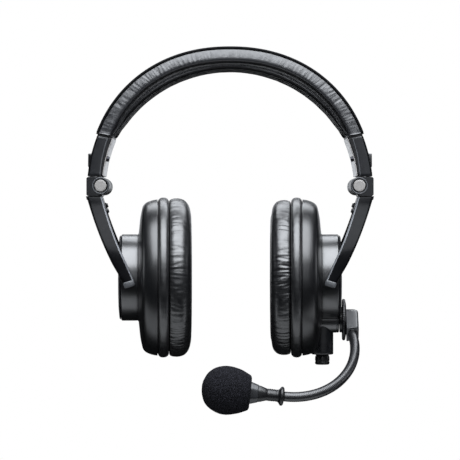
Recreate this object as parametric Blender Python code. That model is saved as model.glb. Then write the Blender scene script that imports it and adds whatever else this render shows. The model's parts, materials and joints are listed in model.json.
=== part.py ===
"""A two-sided broadcast headset: a padded spring headband, two folding ear cups, and a boom
microphone on the right cup.

Frame: +Z up, +X towards the wearer's left-hand cup seen from the front (the cup with the boom),
-Y towards the front, where the microphone sits. The origin is the middle of the headband pad's
underside, which rests on the head's crown. Lengths are named in millimetres and built in metres.

Each moving body hangs from an empty that stands on its joint's axis. Side -1 is the plain cup,
side +1 the cup with the boom. A cup's parts are written as (distance from the mid-plane, radius)
before its yoke is turned in by TOE_IN_DEG.
"""

import math

import bmesh
import bpy
from mathutils import Matrix, Vector

MM = 0.001
GAP = 0.3

# Headband: the outer outline is a superellipse, the underside a circle through the origin.
BAND_HALF_WIDTH = 19.0
OUTLINE_A = 84.8
OUTLINE_B = 85.0
OUTLINE_POWER = 2.15
OUTLINE_TOP_Z = 12.9
UNDERSIDE_RADIUS = 78.0
COVER_END_DEG = 66.9
COVER_DEPTH = 6.2
COVER_LIP_DEPTH = 7.3
COVER_LIP_WIDTH = 5.0
SPRING_DEPTH = 6.5
SPRING_THICKNESS = 0.8
SPRING_HALF_WIDTH = 11.0
PAD_HALF_WIDTH = 17.0
PAD_TOP_DEPTH = 7.6
SKEW = 1.2

# End housings and the adjuster that slides out of them.
HOUSING_TOP_DEG = 67.7
HOUSING_BOTTOM_DEG = 84.4
HOUSING_HALF_WIDTH = 18.0
HOUSING_STEP = 0.8
HOUSING_PARTING = 7.8
HOUSING_THICKNESS = 9.4
SLIDE_LEAN_DEG = 10.0
SLIDE_FOOT = (80.1, -64.0)
BLADE_HALF_WIDTH = 12.0
BLADE_THICKNESS = 1.2
BLADE_LENGTH = 31.0
BLADE_TAB = 4.3
DETENTS = 6
DETENT_PITCH = 3.6
BADGE_HALF_WIDTH = 9.0

# Fold hinge.
PIN_X = 76.5
PIN_Z = -69.5
KNUCKLE_RADIUS = 5.2
PIN_RADIUS = 1.9
CAP_RADIUS = 3.6
BLOCK_OUTER_X = 84.9
BLOCK_HALF_WIDTH = 18.0
EAR_INNER_Y = 8.4
BRIDGE_INNER_X = 82.1

# Yoke: its centre line leans in as it drops, and its two arms straddle the rear housing.
SWIVEL_X = 79.6
YOKE_X = 80.9
YOKE_TOP_Z = -75.9
YOKE_BAR = 8.0
YOKE_LEAN = 0.275
YOKE_CURVE = 0.0027
YOKE_TOP_HALF = 4.6
YOKE_MIDDLE_HALF = 4.2
YOKE_TIP_HALF = 3.3
YOKE_MIDDLE = 40.0
ARM_HALF = 3.0
ARM_Y_TOP = 14.8
ARM_Y_TIP = 30.0
ARM_FLARE = 36.0
ARM_TIP = 51.6
POST_RADIUS = 2.0
TRUNNION_RADIUS = 3.0
TOE_IN_DEG = 2.0

# Ear cup.
CUP_Z = -124.2
TILT_X = 60.9
REAR_RADIUS = 25.5
CUP_SEGMENTS = 32
PAD_FACE = {-1: 23.5, 1: 24.5}
PAD_RADIUS = {-1: 47.3, 1: 46.0}
DRIVER_SEGMENTS = 20

# Boom: its own frame points straight down from the swing axis, and BOOM_FORWARD_DEG turns it forward.
BOOM_Z = -149.5
BOOM_FORWARD_DEG = 60.0
BARREL_RADIUS = 7.8
SOCKET_X = 55.4
SOCKET_TOWER_RADIUS = 6.9
TOWER_BOTTOM_Z = -170.3
SOCKET_TIP_Z = -176.4
HOLDER_X = (69.9, 76.9)
HOLDER_TOP = -6.4
HOLDER_FOOT = 15.2
GOOSENECK_RADIUS = 2.85
GOOSENECK = ((72.7, 0, 14.5), (79.8, 0, 50.3), (61.1, 3.1, 81.5), (33.1, 0, 80.8))
GOOSENECK_SPLIT = 0.5
GOOSENECK_SPLIT_GAP = 0.009
MIC_TILT_DEG = 6.2


# ---------------------------------------------------------------- general helpers


def clear_scene():
    for obj in list(bpy.data.objects):
        bpy.data.objects.remove(obj)


def material(name, colour, roughness, metallic=0.0):
    made = bpy.data.materials.new(name)
    made.use_nodes = True
    shader = made.node_tree.nodes["Principled BSDF"]
    shader.inputs["Base Color"].default_value = (*colour, 1.0)
    shader.inputs["Roughness"].default_value = roughness
    shader.inputs["Metallic"].default_value = metallic
    return made


def make_materials():
    return {
        "leather": material("leather", (0.030, 0.031, 0.034), 0.42),
        "shell": material("shell", (0.026, 0.027, 0.030), 0.32),
        "plastic": material("plastic", (0.040, 0.042, 0.046), 0.50),
        "rubber": material("rubber", (0.018, 0.018, 0.020), 0.65),
        "steel": material("steel", (0.55, 0.56, 0.58), 0.35, 1.0),
        "cap": material("cap", (0.45, 0.46, 0.49), 0.45, 0.6),
        "foam": material("foam", (0.012, 0.012, 0.015), 0.95),
        "film": material("film", (0.55, 0.57, 0.60), 0.30),
        "mesh": material("mesh", (0.020, 0.020, 0.022), 0.85),
        "contact": material("contact", (0.80, 0.62, 0.28), 0.30, 1.0),
    }


def finish_mesh(bm, name, look):
    """Turns a bmesh in millimetres into a named object in metres, with its faces pointing out."""
    bmesh.ops.remove_doubles(bm, verts=bm.verts, dist=2e-3)
    bmesh.ops.dissolve_degenerate(bm, edges=bm.edges, dist=1e-3)
    bmesh.ops.delete(bm, geom=[edge for edge in bm.edges if edge.is_wire], context="EDGES")
    bmesh.ops.recalc_face_normals(bm, faces=bm.faces)
    bmesh.ops.scale(bm, vec=(MM, MM, MM), verts=bm.verts)
    mesh = bpy.data.meshes.new(name)
    bm.to_mesh(mesh)
    bm.free()
    if mesh.polygons:
        mesh.shade_smooth()
        mesh.set_sharp_from_angle(angle=math.radians(35))
    obj = bpy.data.objects.new(name, mesh)
    bpy.context.scene.collection.objects.link(obj)
    if look:
        mesh.materials.append(look)
    return obj


def turned(name, profile, axis, centre, segments, look=None):
    """A closed solid of revolution. profile holds (position along the axis, radius) pairs."""
    along = {"X": Vector((1, 0, 0)), "Y": Vector((0, 1, 0)), "Z": Vector((0, 0, 1))}[axis]
    out = {"X": Vector((0, 0, 1)), "Y": Vector((0, 0, 1)), "Z": Vector((1, 0, 0))}[axis]
    centre = Vector(centre)
    bm = bmesh.new()
    ring = [bm.verts.new(centre + along * a + out * r) for a, r in profile]
    edges = [bm.edges.new((v, ring[(i + 1) % len(ring)])) for i, v in enumerate(ring)]
    bmesh.ops.spin(
        bm, geom=ring + edges, cent=centre, axis=along, dvec=(0, 0, 0),
        angle=math.tau, steps=segments, use_merge=True,
    )
    return finish_mesh(bm, name, look)


def lofted(name, rings, look=None):
    """A closed solid through rings of the same number of points, capped at both ends."""
    bm = bmesh.new()
    loops = [[bm.verts.new(point) for point in ring] for ring in rings]
    for before, after in zip(loops, loops[1:]):
        for i in range(len(before)):
            j = (i + 1) % len(before)
            bm.faces.new((before[i], before[j], after[j], after[i]))
    bm.faces.new(loops[0])
    bm.faces.new(loops[-1])
    return finish_mesh(bm, name, look)


def prism(name, outline, start, end, look=None):
    """A straight prism: each outline point (x, z) at y = start and y = end."""
    return lofted(name, [[(x, y, z) for x, z in outline] for y in (start, end)], look)


def box(name, low, high, look=None):
    outline = [(low[0], low[2]), (high[0], low[2]), (high[0], high[2]), (low[0], high[2])]
    return prism(name, outline, low[1], high[1], look)


def arc(centre, radius, start_deg, end_deg, steps):
    """Points round an arc, both ends included."""
    points = []
    for i in range(steps + 1):
        angle = math.radians(start_deg + (end_deg - start_deg) * i / steps)
        points.append((centre[0] + radius * math.cos(angle), centre[1] + radius * math.sin(angle)))
    return points


def transformed(obj, matrix):
    """Moves a mesh by a matrix whose translation is in millimetres."""
    in_metres = matrix.copy()
    in_metres.translation = matrix.translation * MM
    obj.data.transform(in_metres)
    if in_metres.determinant() < 0:
        obj.data.flip_normals()
    return obj


def boolean(obj, tool, operation):
    change = obj.modifiers.new(operation.lower() + "_" + tool.name, "BOOLEAN")
    change.operation = operation
    change.object = tool
    tool.hide_render = True
    tool.display_type = "WIRE"


def cut(obj, *tools):
    for tool in tools:
        boolean(obj, tool, "DIFFERENCE")


def join(obj, *tools):
    for tool in tools:
        boolean(obj, tool, "UNION")


def joint_axis(name, place, parent=None, parent_place=(0, 0, 0), turn=(0, 0, 0)):
    """An empty on a joint's axis. place is in the frame of the untoed object, in millimetres."""
    empty = bpy.data.objects.new(name, None)
    bpy.context.scene.collection.objects.link(empty)
    empty.empty_display_size = 0.01
    empty.parent = parent
    empty.location = (Vector(place) - Vector(parent_place)) * MM
    empty.rotation_euler = turn
    return empty


def hang(axis, place, *objects):
    """Puts objects under a joint's empty, with their own origins on its axis."""
    for obj in objects:
        obj.data.transform(Matrix.Translation(-Vector(place) * MM))
        obj.parent = axis


def side_name(side):
    return "right" if side > 0 else "left"


# ---------------------------------------------------------------- headband


def outline_point(angle_deg, inset=0.0):
    """A point (x, z) on the headband's outer outline, at an angle from straight up."""
    angle = math.radians(angle_deg)
    a, b = OUTLINE_A - inset, OUTLINE_B - inset
    reach = (abs(math.sin(angle)) / a) ** OUTLINE_POWER + (abs(math.cos(angle)) / b) ** OUTLINE_POWER
    radius = reach ** (-1 / OUTLINE_POWER)
    return Vector((radius * math.sin(angle), OUTLINE_TOP_Z - OUTLINE_B + radius * math.cos(angle)))


def band_ray(angle_deg, inset=0.0):
    """The outline point at an angle, and the direction in which the band's depth is measured."""
    lean = math.radians(angle_deg * SKEW)
    return outline_point(angle_deg, inset), Vector((-math.sin(lean), -math.cos(lean)))


def underside_depth(angle_deg):
    """The band's thickness at an angle: from the outline to the underside circle."""
    start, inward = band_ray(angle_deg)
    offset = start - Vector((0, -UNDERSIDE_RADIUS))
    half_b = offset.dot(inward)
    return -half_b - math.sqrt(half_b**2 - offset.length_squared + UNDERSIDE_RADIUS**2)


def band_ring(angle_deg, section):
    """One ring of the band: section holds (y, depth) pairs."""
    start, inward = band_ray(angle_deg)
    ring = []
    for y, depth in section:
        point = start + inward * depth
        ring.append((point.x, y, point.y))
    return ring


def band_angles(steps):
    return [COVER_END_DEG * (2 * i / steps - 1) for i in range(steps + 1)]


def headband_cover(look):
    w = BAND_HALF_WIDTH
    lip = w - COVER_LIP_WIDTH
    section = [
        (-w, COVER_LIP_DEPTH), (-w, 2.2), (-w + 2.5, 0), (w - 2.5, 0), (w, 2.2),
        (w, COVER_LIP_DEPTH), (lip, COVER_LIP_DEPTH), (lip, COVER_DEPTH),
        (-lip, COVER_DEPTH), (-lip, COVER_LIP_DEPTH),
    ]
    cover = lofted("headband_cover", [band_ring(a, section) for a in band_angles(26)], look)
    for side in (-1, 1):
        pocket = slide_box(f"{side_name(side)}_blade_pocket", side, 12.4, (-1.0, 1.0), (5.0, 32.0))
        cut(cover, pocket)
    return cover


def headband_spring(look):
    w = SPRING_HALF_WIDTH
    section = [
        (-w, SPRING_DEPTH), (w, SPRING_DEPTH),
        (w, SPRING_DEPTH + SPRING_THICKNESS), (-w, SPRING_DEPTH + SPRING_THICKNESS),
    ]
    return lofted("headband_spring", [band_ring(a, section) for a in band_angles(22)], look)


def headband_pad(look):
    w = PAD_HALF_WIDTH
    rings = []
    for angle in band_angles(27):
        floor = underside_depth(angle)
        side = PAD_TOP_DEPTH + 0.45 * (floor - PAD_TOP_DEPTH)
        section = [(-w, PAD_TOP_DEPTH), (w, PAD_TOP_DEPTH), (w, side), (w - 4, floor), (4 - w, floor), (-w, side)]
        rings.append(band_ring(angle, section))
    return lofted("headband_pad", rings, look)


# ---------------------------------------------------------------- end housing and adjuster


def slide_frame(side):
    """Carries (across, y, along) to the object: along runs up the adjuster's line of travel."""
    lean = math.radians(SLIDE_LEAN_DEG)
    along = Vector((-side * math.sin(lean), 0, math.cos(lean)))
    across = Vector((side * math.cos(lean), 0, math.sin(lean)))
    matrix = Matrix.Identity(4)
    for row in range(3):
        matrix[row][0] = across[row]
        matrix[row][1] = (0, 1, 0)[row]
        matrix[row][2] = along[row]
    matrix.translation = Vector((side * SLIDE_FOOT[0], 0, SLIDE_FOOT[1]))
    return matrix


def slide_box(name, side, half_width, across, along, look=None):
    made = box(name, (across[0], -half_width, along[0]), (across[1], half_width, along[1]), look)
    return transformed(made, slide_frame(side))


def housing_rings(side, near, far, half_width, chamfer):
    """Rings down an end housing, between two depths, with the outer corners chamfered."""
    rings = []
    steps = 4
    for i in range(steps + 1):
        share = i / steps
        angle = HOUSING_TOP_DEG + (HOUSING_BOTTOM_DEG - HOUSING_TOP_DEG) * share
        lean = math.radians(80 + 10 * share)
        start = outline_point(angle, HOUSING_STEP * (1 - share))
        inward = Vector((-math.sin(lean), -math.cos(lean)))
        w = half_width
        section = [
            (-w, far), (-w, near + chamfer), (-w + chamfer, near),
            (w - chamfer, near), (w, near + chamfer), (w, far),
        ]
        ring = []
        for y, depth in section:
            point = start + inward * depth
            ring.append((side * point.x, y, point.y))
        rings.append(ring)
    return rings


def end_housing(side, look):
    name = side_name(side)
    housing = lofted(f"{name}_end_housing", housing_rings(side, 0, HOUSING_PARTING, HOUSING_HALF_WIDTH, 1.2), look)
    cavity = slide_box(f"{name}_housing_cavity", side, 12.6, (-8.0, 1.1), (2.4, 40.0))
    mouth = slide_box(f"{name}_housing_mouth", side, 12.6, (-1.0, 1.0), (-6.0, 8.0))
    seat = prism(f"{name}_badge_seat", badge_outline(side, GAP), -BADGE_HALF_WIDTH - GAP, BADGE_HALF_WIDTH + GAP)
    hole = slide_cylinder(f"{name}_screw_hole", side, 1.25, (-7.0, -2.0))
    cut(housing, cavity, mouth, seat, hole)
    return housing


def slide_cylinder(name, side, radius, across, look=None):
    """A round bar across the adjuster's line, at the end screw's place."""
    made = turned(name, [(across[0], 0), (across[0], radius), (across[1], radius), (across[1], 0)],
                  "X", (0, -15.2, 11.5), 12, look)
    return transformed(made, slide_frame(side))


def end_cover(side, look):
    name = side_name(side)
    rings = housing_rings(side, HOUSING_PARTING + GAP, HOUSING_THICKNESS, HOUSING_HALF_WIDTH - 0.4, 0)
    cover = lofted(f"{name}_end_cover", [[r[0], r[1], r[4], r[5]] for r in rings], look)
    cut(cover, slide_cylinder(f"{name}_cover_hole", side, 1.9, (-9.0, -1.0)))
    return cover


def end_screw(side, look):
    profile = [(-5.6, 0), (-5.6, 1.6), (-4.6, 1.6), (-4.6, 0.95), (-2.4, 0.95), (-2.4, 0)]
    screw = turned(f"{side_name(side)}_end_screw", profile, "X", (0, -15.2, 11.5), 12, look)
    return transformed(screw, slide_frame(side))


def badge_outline(side, grow):
    points = [(84.5 + grow, -50.2 + grow), (84.5 + grow, -58.0), (83.0, -59.4 - grow), (81.3 - grow, -49.9 + grow)]
    return [(side * x, z) for x, z in points]


def end_badge(side, look):
    outline = badge_outline(side, 0)
    return prism(f"{side_name(side)}_end_badge", outline, -BADGE_HALF_WIDTH, BADGE_HALF_WIDTH, look)


def slider_blade(side, look):
    """The steel adjuster: a notched foot grips the hinge block, and slots along it take the detent."""
    name = side_name(side)
    w, notch, half = BLADE_HALF_WIDTH, EAR_INNER_Y + GAP, BLADE_THICKNESS / 2
    outline = [
        (-w, -BLADE_TAB), (-notch, -BLADE_TAB), (-notch, 0.6), (notch, 0.6),
        (notch, -BLADE_TAB), (w, -BLADE_TAB), (w, BLADE_LENGTH), (-w, BLADE_LENGTH),
    ]
    blade = lofted(f"{name}_slider_blade", [[(x, y, z) for y, z in outline] for x in (-half, half)], look)
    transformed(blade, slide_frame(side))
    for i in range(DETENTS):
        foot = 6.0 + i * DETENT_PITCH
        cut(blade, slide_box(f"{name}_detent_{i}", side, 2.5, (-2.0, 2.0), (foot, foot + 1.2)))
    return blade


# ---------------------------------------------------------------- fold hinge


def block_outline(side):
    corner = 0.8
    top, bottom = PIN_Z + KNUCKLE_RADIUS, YOKE_TOP_Z + GAP
    nose = arc((PIN_X, PIN_Z), KNUCKLE_RADIUS, 90, 270, 10)
    back = [
        (PIN_X + 0.8, bottom), (BLOCK_OUTER_X - corner, bottom), (BLOCK_OUTER_X, bottom + corner),
        (BLOCK_OUTER_X, top - corner), (BLOCK_OUTER_X - corner, top),
    ]
    return [(side * x, z) for x, z in nose + back]


def pin_bar(name, radius, low, high, side, segments=16):
    profile = [(low, 0), (low, radius), (high, radius), (high, 0)]
    return turned(name, profile, "Y", (side * PIN_X, 0, PIN_Z), segments)


def hinge_block(side, look):
    name = side_name(side)
    w = BLOCK_HALF_WIDTH
    block = prism(f"{name}_hinge_block", block_outline(side), -w, w, look)
    x_low, x_high = sorted((side * 60.0, side * BRIDGE_INNER_X))
    slot = box(f"{name}_block_slot", (x_low, -EAR_INNER_Y, -90.0), (x_high, EAR_INNER_Y, -50.0))
    cut(block, slot)
    cut(block, pin_bar(f"{name}_pin_hole", PIN_RADIUS + GAP, -30, 30, side))
    cut(block, pin_bar(f"{name}_front_counterbore", CAP_RADIUS + GAP, -30, -w + 1.4, side, 20))
    cut(block, pin_bar(f"{name}_rear_counterbore", CAP_RADIUS + GAP, w - 1.4, 30, side, 20))
    for end, front in (("front", -1), ("rear", 1)):
        y_low, y_high = sorted((front * 8.0, front * (BLADE_HALF_WIDTH + GAP)))
        seat = box(f"{name}_{end}_blade_seat", (-0.9, y_low, -BLADE_TAB - GAP), (0.9, y_high, 6.0))
        cut(block, transformed(seat, slide_frame(side)))
    return block


def hinge_pin(side, look):
    head, w = CAP_RADIUS, BLOCK_HALF_WIDTH
    profile = [
        (-w - 0.4, 0), (-w - 0.4, head - 0.4), (-w - 0.1, head), (-w + 1.1, head),
        (-w + 1.1, PIN_RADIUS), (w - 1.5, PIN_RADIUS), (w - 1.5, 0),
    ]
    return turned(f"{side_name(side)}_hinge_pin", profile, "Y", (side * PIN_X, 0, PIN_Z), 20, look)


def hinge_pin_cap(side, look):
    head, w = CAP_RADIUS, BLOCK_HALF_WIDTH
    profile = [(w - 1.1, 0), (w - 1.1, head), (w + 0.1, head), (w + 0.4, head - 0.4), (w + 0.4, 0)]
    return turned(f"{side_name(side)}_hinge_pin_cap", profile, "Y", (side * PIN_X, 0, PIN_Z), 20, look)


def hinge_knuckle(side, look):
    """The barrel between the block's ears, with the tongue and the post that the yoke swivels on."""
    name = side_name(side)
    half = EAR_INNER_Y - GAP
    foot = YOKE_TOP_Z + GAP
    outline = arc((PIN_X, PIN_Z), KNUCKLE_RADIUS - 0.1, 0, 265, 14)
    outline = [(PIN_X - 0.2, foot), (81.6, foot), (81.6, PIN_Z)] + outline[1:]
    knuckle = prism(f"{name}_hinge_knuckle", [(side * x, z) for x, z in outline], -half, half, look)
    post_foot = YOKE_TOP_Z - YOKE_BAR - 0.1
    post = swivel_bar(f"{name}_swivel_post", POST_RADIUS, post_foot, foot + 1.0, side)
    join(knuckle, post)
    cut(knuckle, pin_bar(f"{name}_knuckle_bore", PIN_RADIUS + GAP, -30, 30, side))
    cut(knuckle, swivel_bar(f"{name}_post_bore", 1.2, post_foot - 2, post_foot + 5.5, side, 10))
    return knuckle


def swivel_bar(name, radius, low, high, side, segments=14):
    profile = [(high, 0), (high, radius), (low, radius), (low, 0)]
    return turned(name, profile, "Z", (side * SWIVEL_X, 0, 0), segments)


def swivel_screw(side, look):
    top = YOKE_TOP_Z - YOKE_BAR - 0.4
    profile = [(top + 5.0, 0), (top + 5.0, 0.9), (top, 0.9), (top, 3.4), (top - 1.4, 3.4), (top - 1.4, 0)]
    return turned(f"{side_name(side)}_swivel_screw", profile, "Z", (side * SWIVEL_X, 0, 0), 14, look)


# ---------------------------------------------------------------- yoke


def yoke_centre_x(drop):
    """How far from the mid-plane the yoke's centre line is, at a drop below its top."""
    return YOKE_X - YOKE_LEAN * drop - YOKE_CURVE * drop * drop


def yoke_half(drop):
    """Half the yoke's width across the view from the front: it tapers, faster below YOKE_MIDDLE."""
    upper = YOKE_TOP_HALF + (YOKE_MIDDLE_HALF - YOKE_TOP_HALF) * min(1.0, drop / YOKE_MIDDLE)
    lower = max(0.0, drop - YOKE_MIDDLE) / (ARM_TIP - YOKE_MIDDLE)
    return upper + (YOKE_TIP_HALF - YOKE_MIDDLE_HALF) * lower


def arm_y(drop):
    t = min(1.0, max(0.0, drop / ARM_FLARE))
    return ARM_Y_TOP + (ARM_Y_TIP - ARM_Y_TOP) * t * t * (3 - 2 * t)


def yoke_stations():
    """(outer y, outer drop, inner y, inner drop) from the front arm's tip, over the bar, to the rear's."""
    arm = []
    for drop in (ARM_TIP, 50.2, 48.0, 42.0, 36.0, 30.0, 24.0, 18.0, 13.0):
        half = ARM_HALF - (1.0 if drop == ARM_TIP else 0.0)
        arm.append((arm_y(drop) + half, drop, arm_y(drop) - half, drop))
    arm.append((arm_y(6) + 3.2, 6.5, 12.2, 10.0))
    arm.append((BLOCK_HALF_WIDTH, 1.0, 9.5, YOKE_BAR + 0.4))
    arm.append((BLOCK_HALF_WIDTH - 1.0, 0, 7.5, YOKE_BAR))
    front = [(-a, b, -c, d) for a, b, c, d in arm]
    return front + [(0, 0, 0, YOKE_BAR)] + [(a, b, c, d) for a, b, c, d in reversed(arm)]


def yoke(side, look):
    name = side_name(side)
    rings = []
    for outer_y, outer_drop, inner_y, inner_drop in yoke_stations():
        ring = []
        for y, drop, edge in (
            (outer_y, outer_drop, 1), (inner_y, inner_drop, 1),
            (inner_y, inner_drop, -1), (outer_y, outer_drop, -1),
        ):
            ring.append((side * (yoke_centre_x(drop) + edge * yoke_half(drop)), y, YOKE_TOP_Z - drop))
        rings.append(ring)
    made = lofted(f"{name}_yoke", rings, look)
    for end, front in (("front", -1), ("rear", 1)):
        low, high = sorted((front * 22.4, front * 29.0))
        trunnion = turned(
            f"{name}_{end}_trunnion", [(low, 0), (low, TRUNNION_RADIUS), (high, TRUNNION_RADIUS), (high, 0)],
            "Y", (side * TILT_X, 0, CUP_Z), 16,
        )
        join(made, trunnion)
    cut(made, swivel_bar(f"{name}_swivel_hole", POST_RADIUS + GAP, -100, -60, side))
    return made


def cable_grommet(side, look):
    drop = 5.2
    face = yoke_centre_x(drop) - yoke_half(drop) - GAP
    profile = [(side * x, r) for x, r in ((face - 1.3, 0), (face - 1.3, 1.4), (face - 0.7, 1.9), (face - 0.1, 1.9), (face - 0.1, 0))]
    grommet = turned(f"{side_name(side)}_cable_grommet", profile, "X", (0, 7.0, YOKE_TOP_Z - drop), 12, look)
    seat = Matrix.Translation((side * face, 0, YOKE_TOP_Z - drop))
    lean = Matrix.Rotation(side * math.atan(YOKE_LEAN + 2 * YOKE_CURVE * drop), 4, "Y")
    return transformed(grommet, seat @ lean @ seat.inverted())


# ---------------------------------------------------------------- ear cup


def cup_turned(name, profile, side, segments, look=None):
    """A solid turned about the cup's axis; profile holds (distance from the mid-plane, radius)."""
    return turned(name, [(side * x, r) for x, r in profile], "X", (0, 0, CUP_Z), segments, look)


SHELL_OUTSIDE = [(43.4, 46.8), (50.9, 44.7), (52.1, 43.0), (53.9, 36.0), (54.5, 29.0), (54.8, 26.5)]
SHELL_INSIDE = [(54.8, 20.0), (53.0, 20.0), (52.4, 28.0), (50.2, 41.4), (43.4, 44.8)]


def cup_shell(side, look):
    return cup_turned(f"{side_name(side)}_cup_shell", SHELL_OUTSIDE + SHELL_INSIDE, side, CUP_SEGMENTS, look)


def rear_housing(side, look):
    """The drum behind the shell. The yoke's trunnions turn in two holes through its wall."""
    name = side_name(side)
    r = REAR_RADIUS
    profile = [(55.1, r), (65.2, r), (65.2, r - 1.8), (56.6, r - 1.8), (56.6, 20.0), (55.1, 20.0)]
    housing = cup_turned(f"{name}_rear_housing", profile, side, CUP_SEGMENTS, look)
    bore = turned(
        f"{name}_trunnion_bore", [(-30, 0), (-30, 3.3), (30, 3.3), (30, 0)],
        "Y", (side * TILT_X, 0, CUP_Z), 16,
    )
    cut(housing, bore)
    return housing, bore


def rear_cap(side, look):
    profile = [(65.5, 25.3), (66.2, 24.4), (66.9, 14.0), (67.2, 0), (64.0, 0), (64.0, 23.3), (65.5, 23.3)]
    return cup_turned(f"{side_name(side)}_rear_cap", profile, side, CUP_SEGMENTS, look)


def baffle(side, look):
    profile = [(43.1, 43.6), (43.1, 41.0), (39.5, 41.0), (39.5, 21.0), (38.0, 21.0), (38.0, 43.6)]
    return cup_turned(f"{side_name(side)}_baffle", profile, side, CUP_SEGMENTS, look)


def pad_skirt(side, look):
    profile = [(43.1, 44.0), (43.1, 46.6), (41.6, 47.8), (39.6, 48.0), (37.5, 47.5), (36.5, 46.2), (36.5, 44.0)]
    return cup_turned(f"{side_name(side)}_pad_skirt", profile, side, CUP_SEGMENTS, look)


def ear_pad(side, look):
    """The two pads are soft and have settled a little differently, so each has its own height."""
    face, r = PAD_FACE[side], PAD_RADIUS[side]
    profile = [
        (36.2, r - 1.2), (34.2, r), (face + 5.0, r), (face + 1.5, r - 1.9), (face, r - 5.5),
        (face, 34.0), (face + 1.8, 30.2), (face + 5.9, 28.0), (36.2, 28.0),
    ]
    return cup_turned(f"{side_name(side)}_ear_pad", profile, side, CUP_SEGMENTS, look)


def driver_basket(side, look):
    profile = [(39.8, 23.0), (41.2, 23.0), (47.0, 12.5), (47.0, 8.0), (45.8, 8.0), (45.8, 11.6), (39.8, 18.6)]
    return cup_turned(f"{side_name(side)}_driver_basket", profile, side, DRIVER_SEGMENTS, look)


def driver_magnet(side, look):
    profile = [(47.3, 0), (47.3, 11.0), (51.4, 11.0), (52.2, 10.2), (52.2, 0)]
    return cup_turned(f"{side_name(side)}_driver_magnet", profile, side, DRIVER_SEGMENTS, look)


def driver_diaphragm(side, look):
    profile = [(39.4, 18.2), (38.4, 9.2), (39.2, 8.0), (38.2, 0), (38.6, 0), (39.6, 8.0), (38.8, 9.4), (39.8, 18.2)]
    return cup_turned(f"{side_name(side)}_driver_diaphragm", profile, side, DRIVER_SEGMENTS, look)


def driver_grille(side, look):
    profile = [(36.8, 0), (36.8, 26.0), (37.7, 26.0), (37.7, 0)]
    return cup_turned(f"{side_name(side)}_driver_grille", profile, side, DRIVER_SEGMENTS, look)


# ---------------------------------------------------------------- boom mount, on the right cup


def boom_housing(look):
    """The barrel that the boom turns in and the tower of the cable socket, moulded round the cup."""
    barrel = turned("boom_housing", [(52.0, 0), (52.0, BARREL_RADIUS), (65.4, BARREL_RADIUS), (65.4, 0)],
                    "X", (0, 0, BOOM_Z), 24, look)
    tower = turned("socket_tower", [(BOOM_Z - 3.0, 0), (BOOM_Z - 3.0, SOCKET_TOWER_RADIUS),
                                    (TOWER_BOTTOM_Z, SOCKET_TOWER_RADIUS), (TOWER_BOTTOM_Z, 0)],
                   "Z", (SOCKET_X, 0, 0), 20)
    join(barrel, tower)
    grown_shell = [(40.0, 47.4), (43.4, 47.2), (51.1, 45.1), (52.4, 43.3), (54.3, 36.1), (55.1, 27.1), (55.1, 0), (40.0, 0)]
    shell_room = cup_turned("shell_room", grown_shell, 1, CUP_SEGMENTS)
    bore = turned("boom_bore", [(57.0, 0), (57.0, 3.1), (70.0, 3.1), (70.0, 0)], "X", (0, 0, BOOM_Z), 16)
    well = turned("socket_well", [(-166.5, 0), (-166.5, 3.6), (-180.0, 3.6), (-180.0, 0)], "Z", (SOCKET_X, 0, 0), 16)
    cut(barrel, shell_room, bore, well)
    return barrel, [tower, shell_room, bore, well]


def barrel_room():
    """The room that the rear housing and its cap leave for the boom's barrel and hub."""
    room = BARREL_RADIUS + GAP
    return turned("barrel_room", [(50.0, 0), (50.0, room), (70.0, room), (70.0, 0)], "X", (0, 0, BOOM_Z), 24)


def cable_socket(look):
    """The locking collar of the detachable cable's socket."""
    top, tip = -168.3, SOCKET_TIP_Z
    shoulder = TOWER_BOTTOM_Z - GAP
    profile = [
        (top, 2.7), (top, 3.3), (shoulder, 3.3), (shoulder, 3.9), (shoulder - 1.6, 4.2),
        (tip + 0.5, 4.2), (tip, 3.8), (tip, 3.25), (-171.6, 3.25), (-171.6, 2.7),
    ]
    return turned("cable_socket", profile, "Z", (SOCKET_X, 0, 0), 20, look)


def socket_insert(look):
    """The insulator that carries the socket's contacts."""
    profile = [(-166.8, 0), (-166.8, 2.4), (-171.4, 2.4), (-171.4, 0)]
    insert = turned("socket_insert", profile, "Z", (SOCKET_X, 0, 0), 16, look)
    holes = []
    for i in range(4):
        angle = math.radians(45 + 90 * i)
        centre = (SOCKET_X + 1.3 * math.cos(angle), 1.3 * math.sin(angle), 0)
        holes.append(turned(f"contact_hole_{i}", [(-168.0, 0), (-168.0, 0.45), (-173.0, 0.45), (-173.0, 0)], "Z", centre, 8))
    cut(insert, *holes)
    return insert, holes


def boom_hub(look):
    profile = [(58.0, 0), (58.0, 2.8), (65.7, 2.8), (65.7, 7.0), (67.6, 7.0), (67.6, 0)]
    return turned("boom_hub", profile, "X", (0, 0, 0), 20, look)


def boom_disc(look):
    profile = [(67.9, 0), (67.9, 12.0), (68.3, 12.4), (68.9, 12.1), (69.6, 9.0), (69.6, 0)]
    return turned("boom_disc", profile, "X", (0, 0, 0), 28, look)


def boom_holder(look):
    """The clamp on the disc that grips the gooseneck's root."""
    near, far = HOLDER_X
    rings = []
    for drop, reach, half in ((HOLDER_TOP, far - 2.2, 3.6), (HOLDER_TOP + 1.2, far - 0.9, 4.4),
                              (HOLDER_TOP + 4.5, far, 4.7), (HOLDER_FOOT, far, 4.7)):
        ring = [(near, -half), (reach - 1.8, -half), (reach, 1.8 - half), (reach, half - 1.8), (reach - 1.8, half), (near, half)]
        rings.append([(x, y, -drop) for x, y in ring])
    holder = lofted("boom_holder", rings, look)
    bore = turned("gooseneck_bore", [(-4.0, 0), (-4.0, 3.2), (-20.0, 3.2), (-20.0, 0)], "Z", (GOOSENECK[0][0] + 0.1, 0, 0), 16)
    cut(holder, bore)
    return holder, bore


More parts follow.
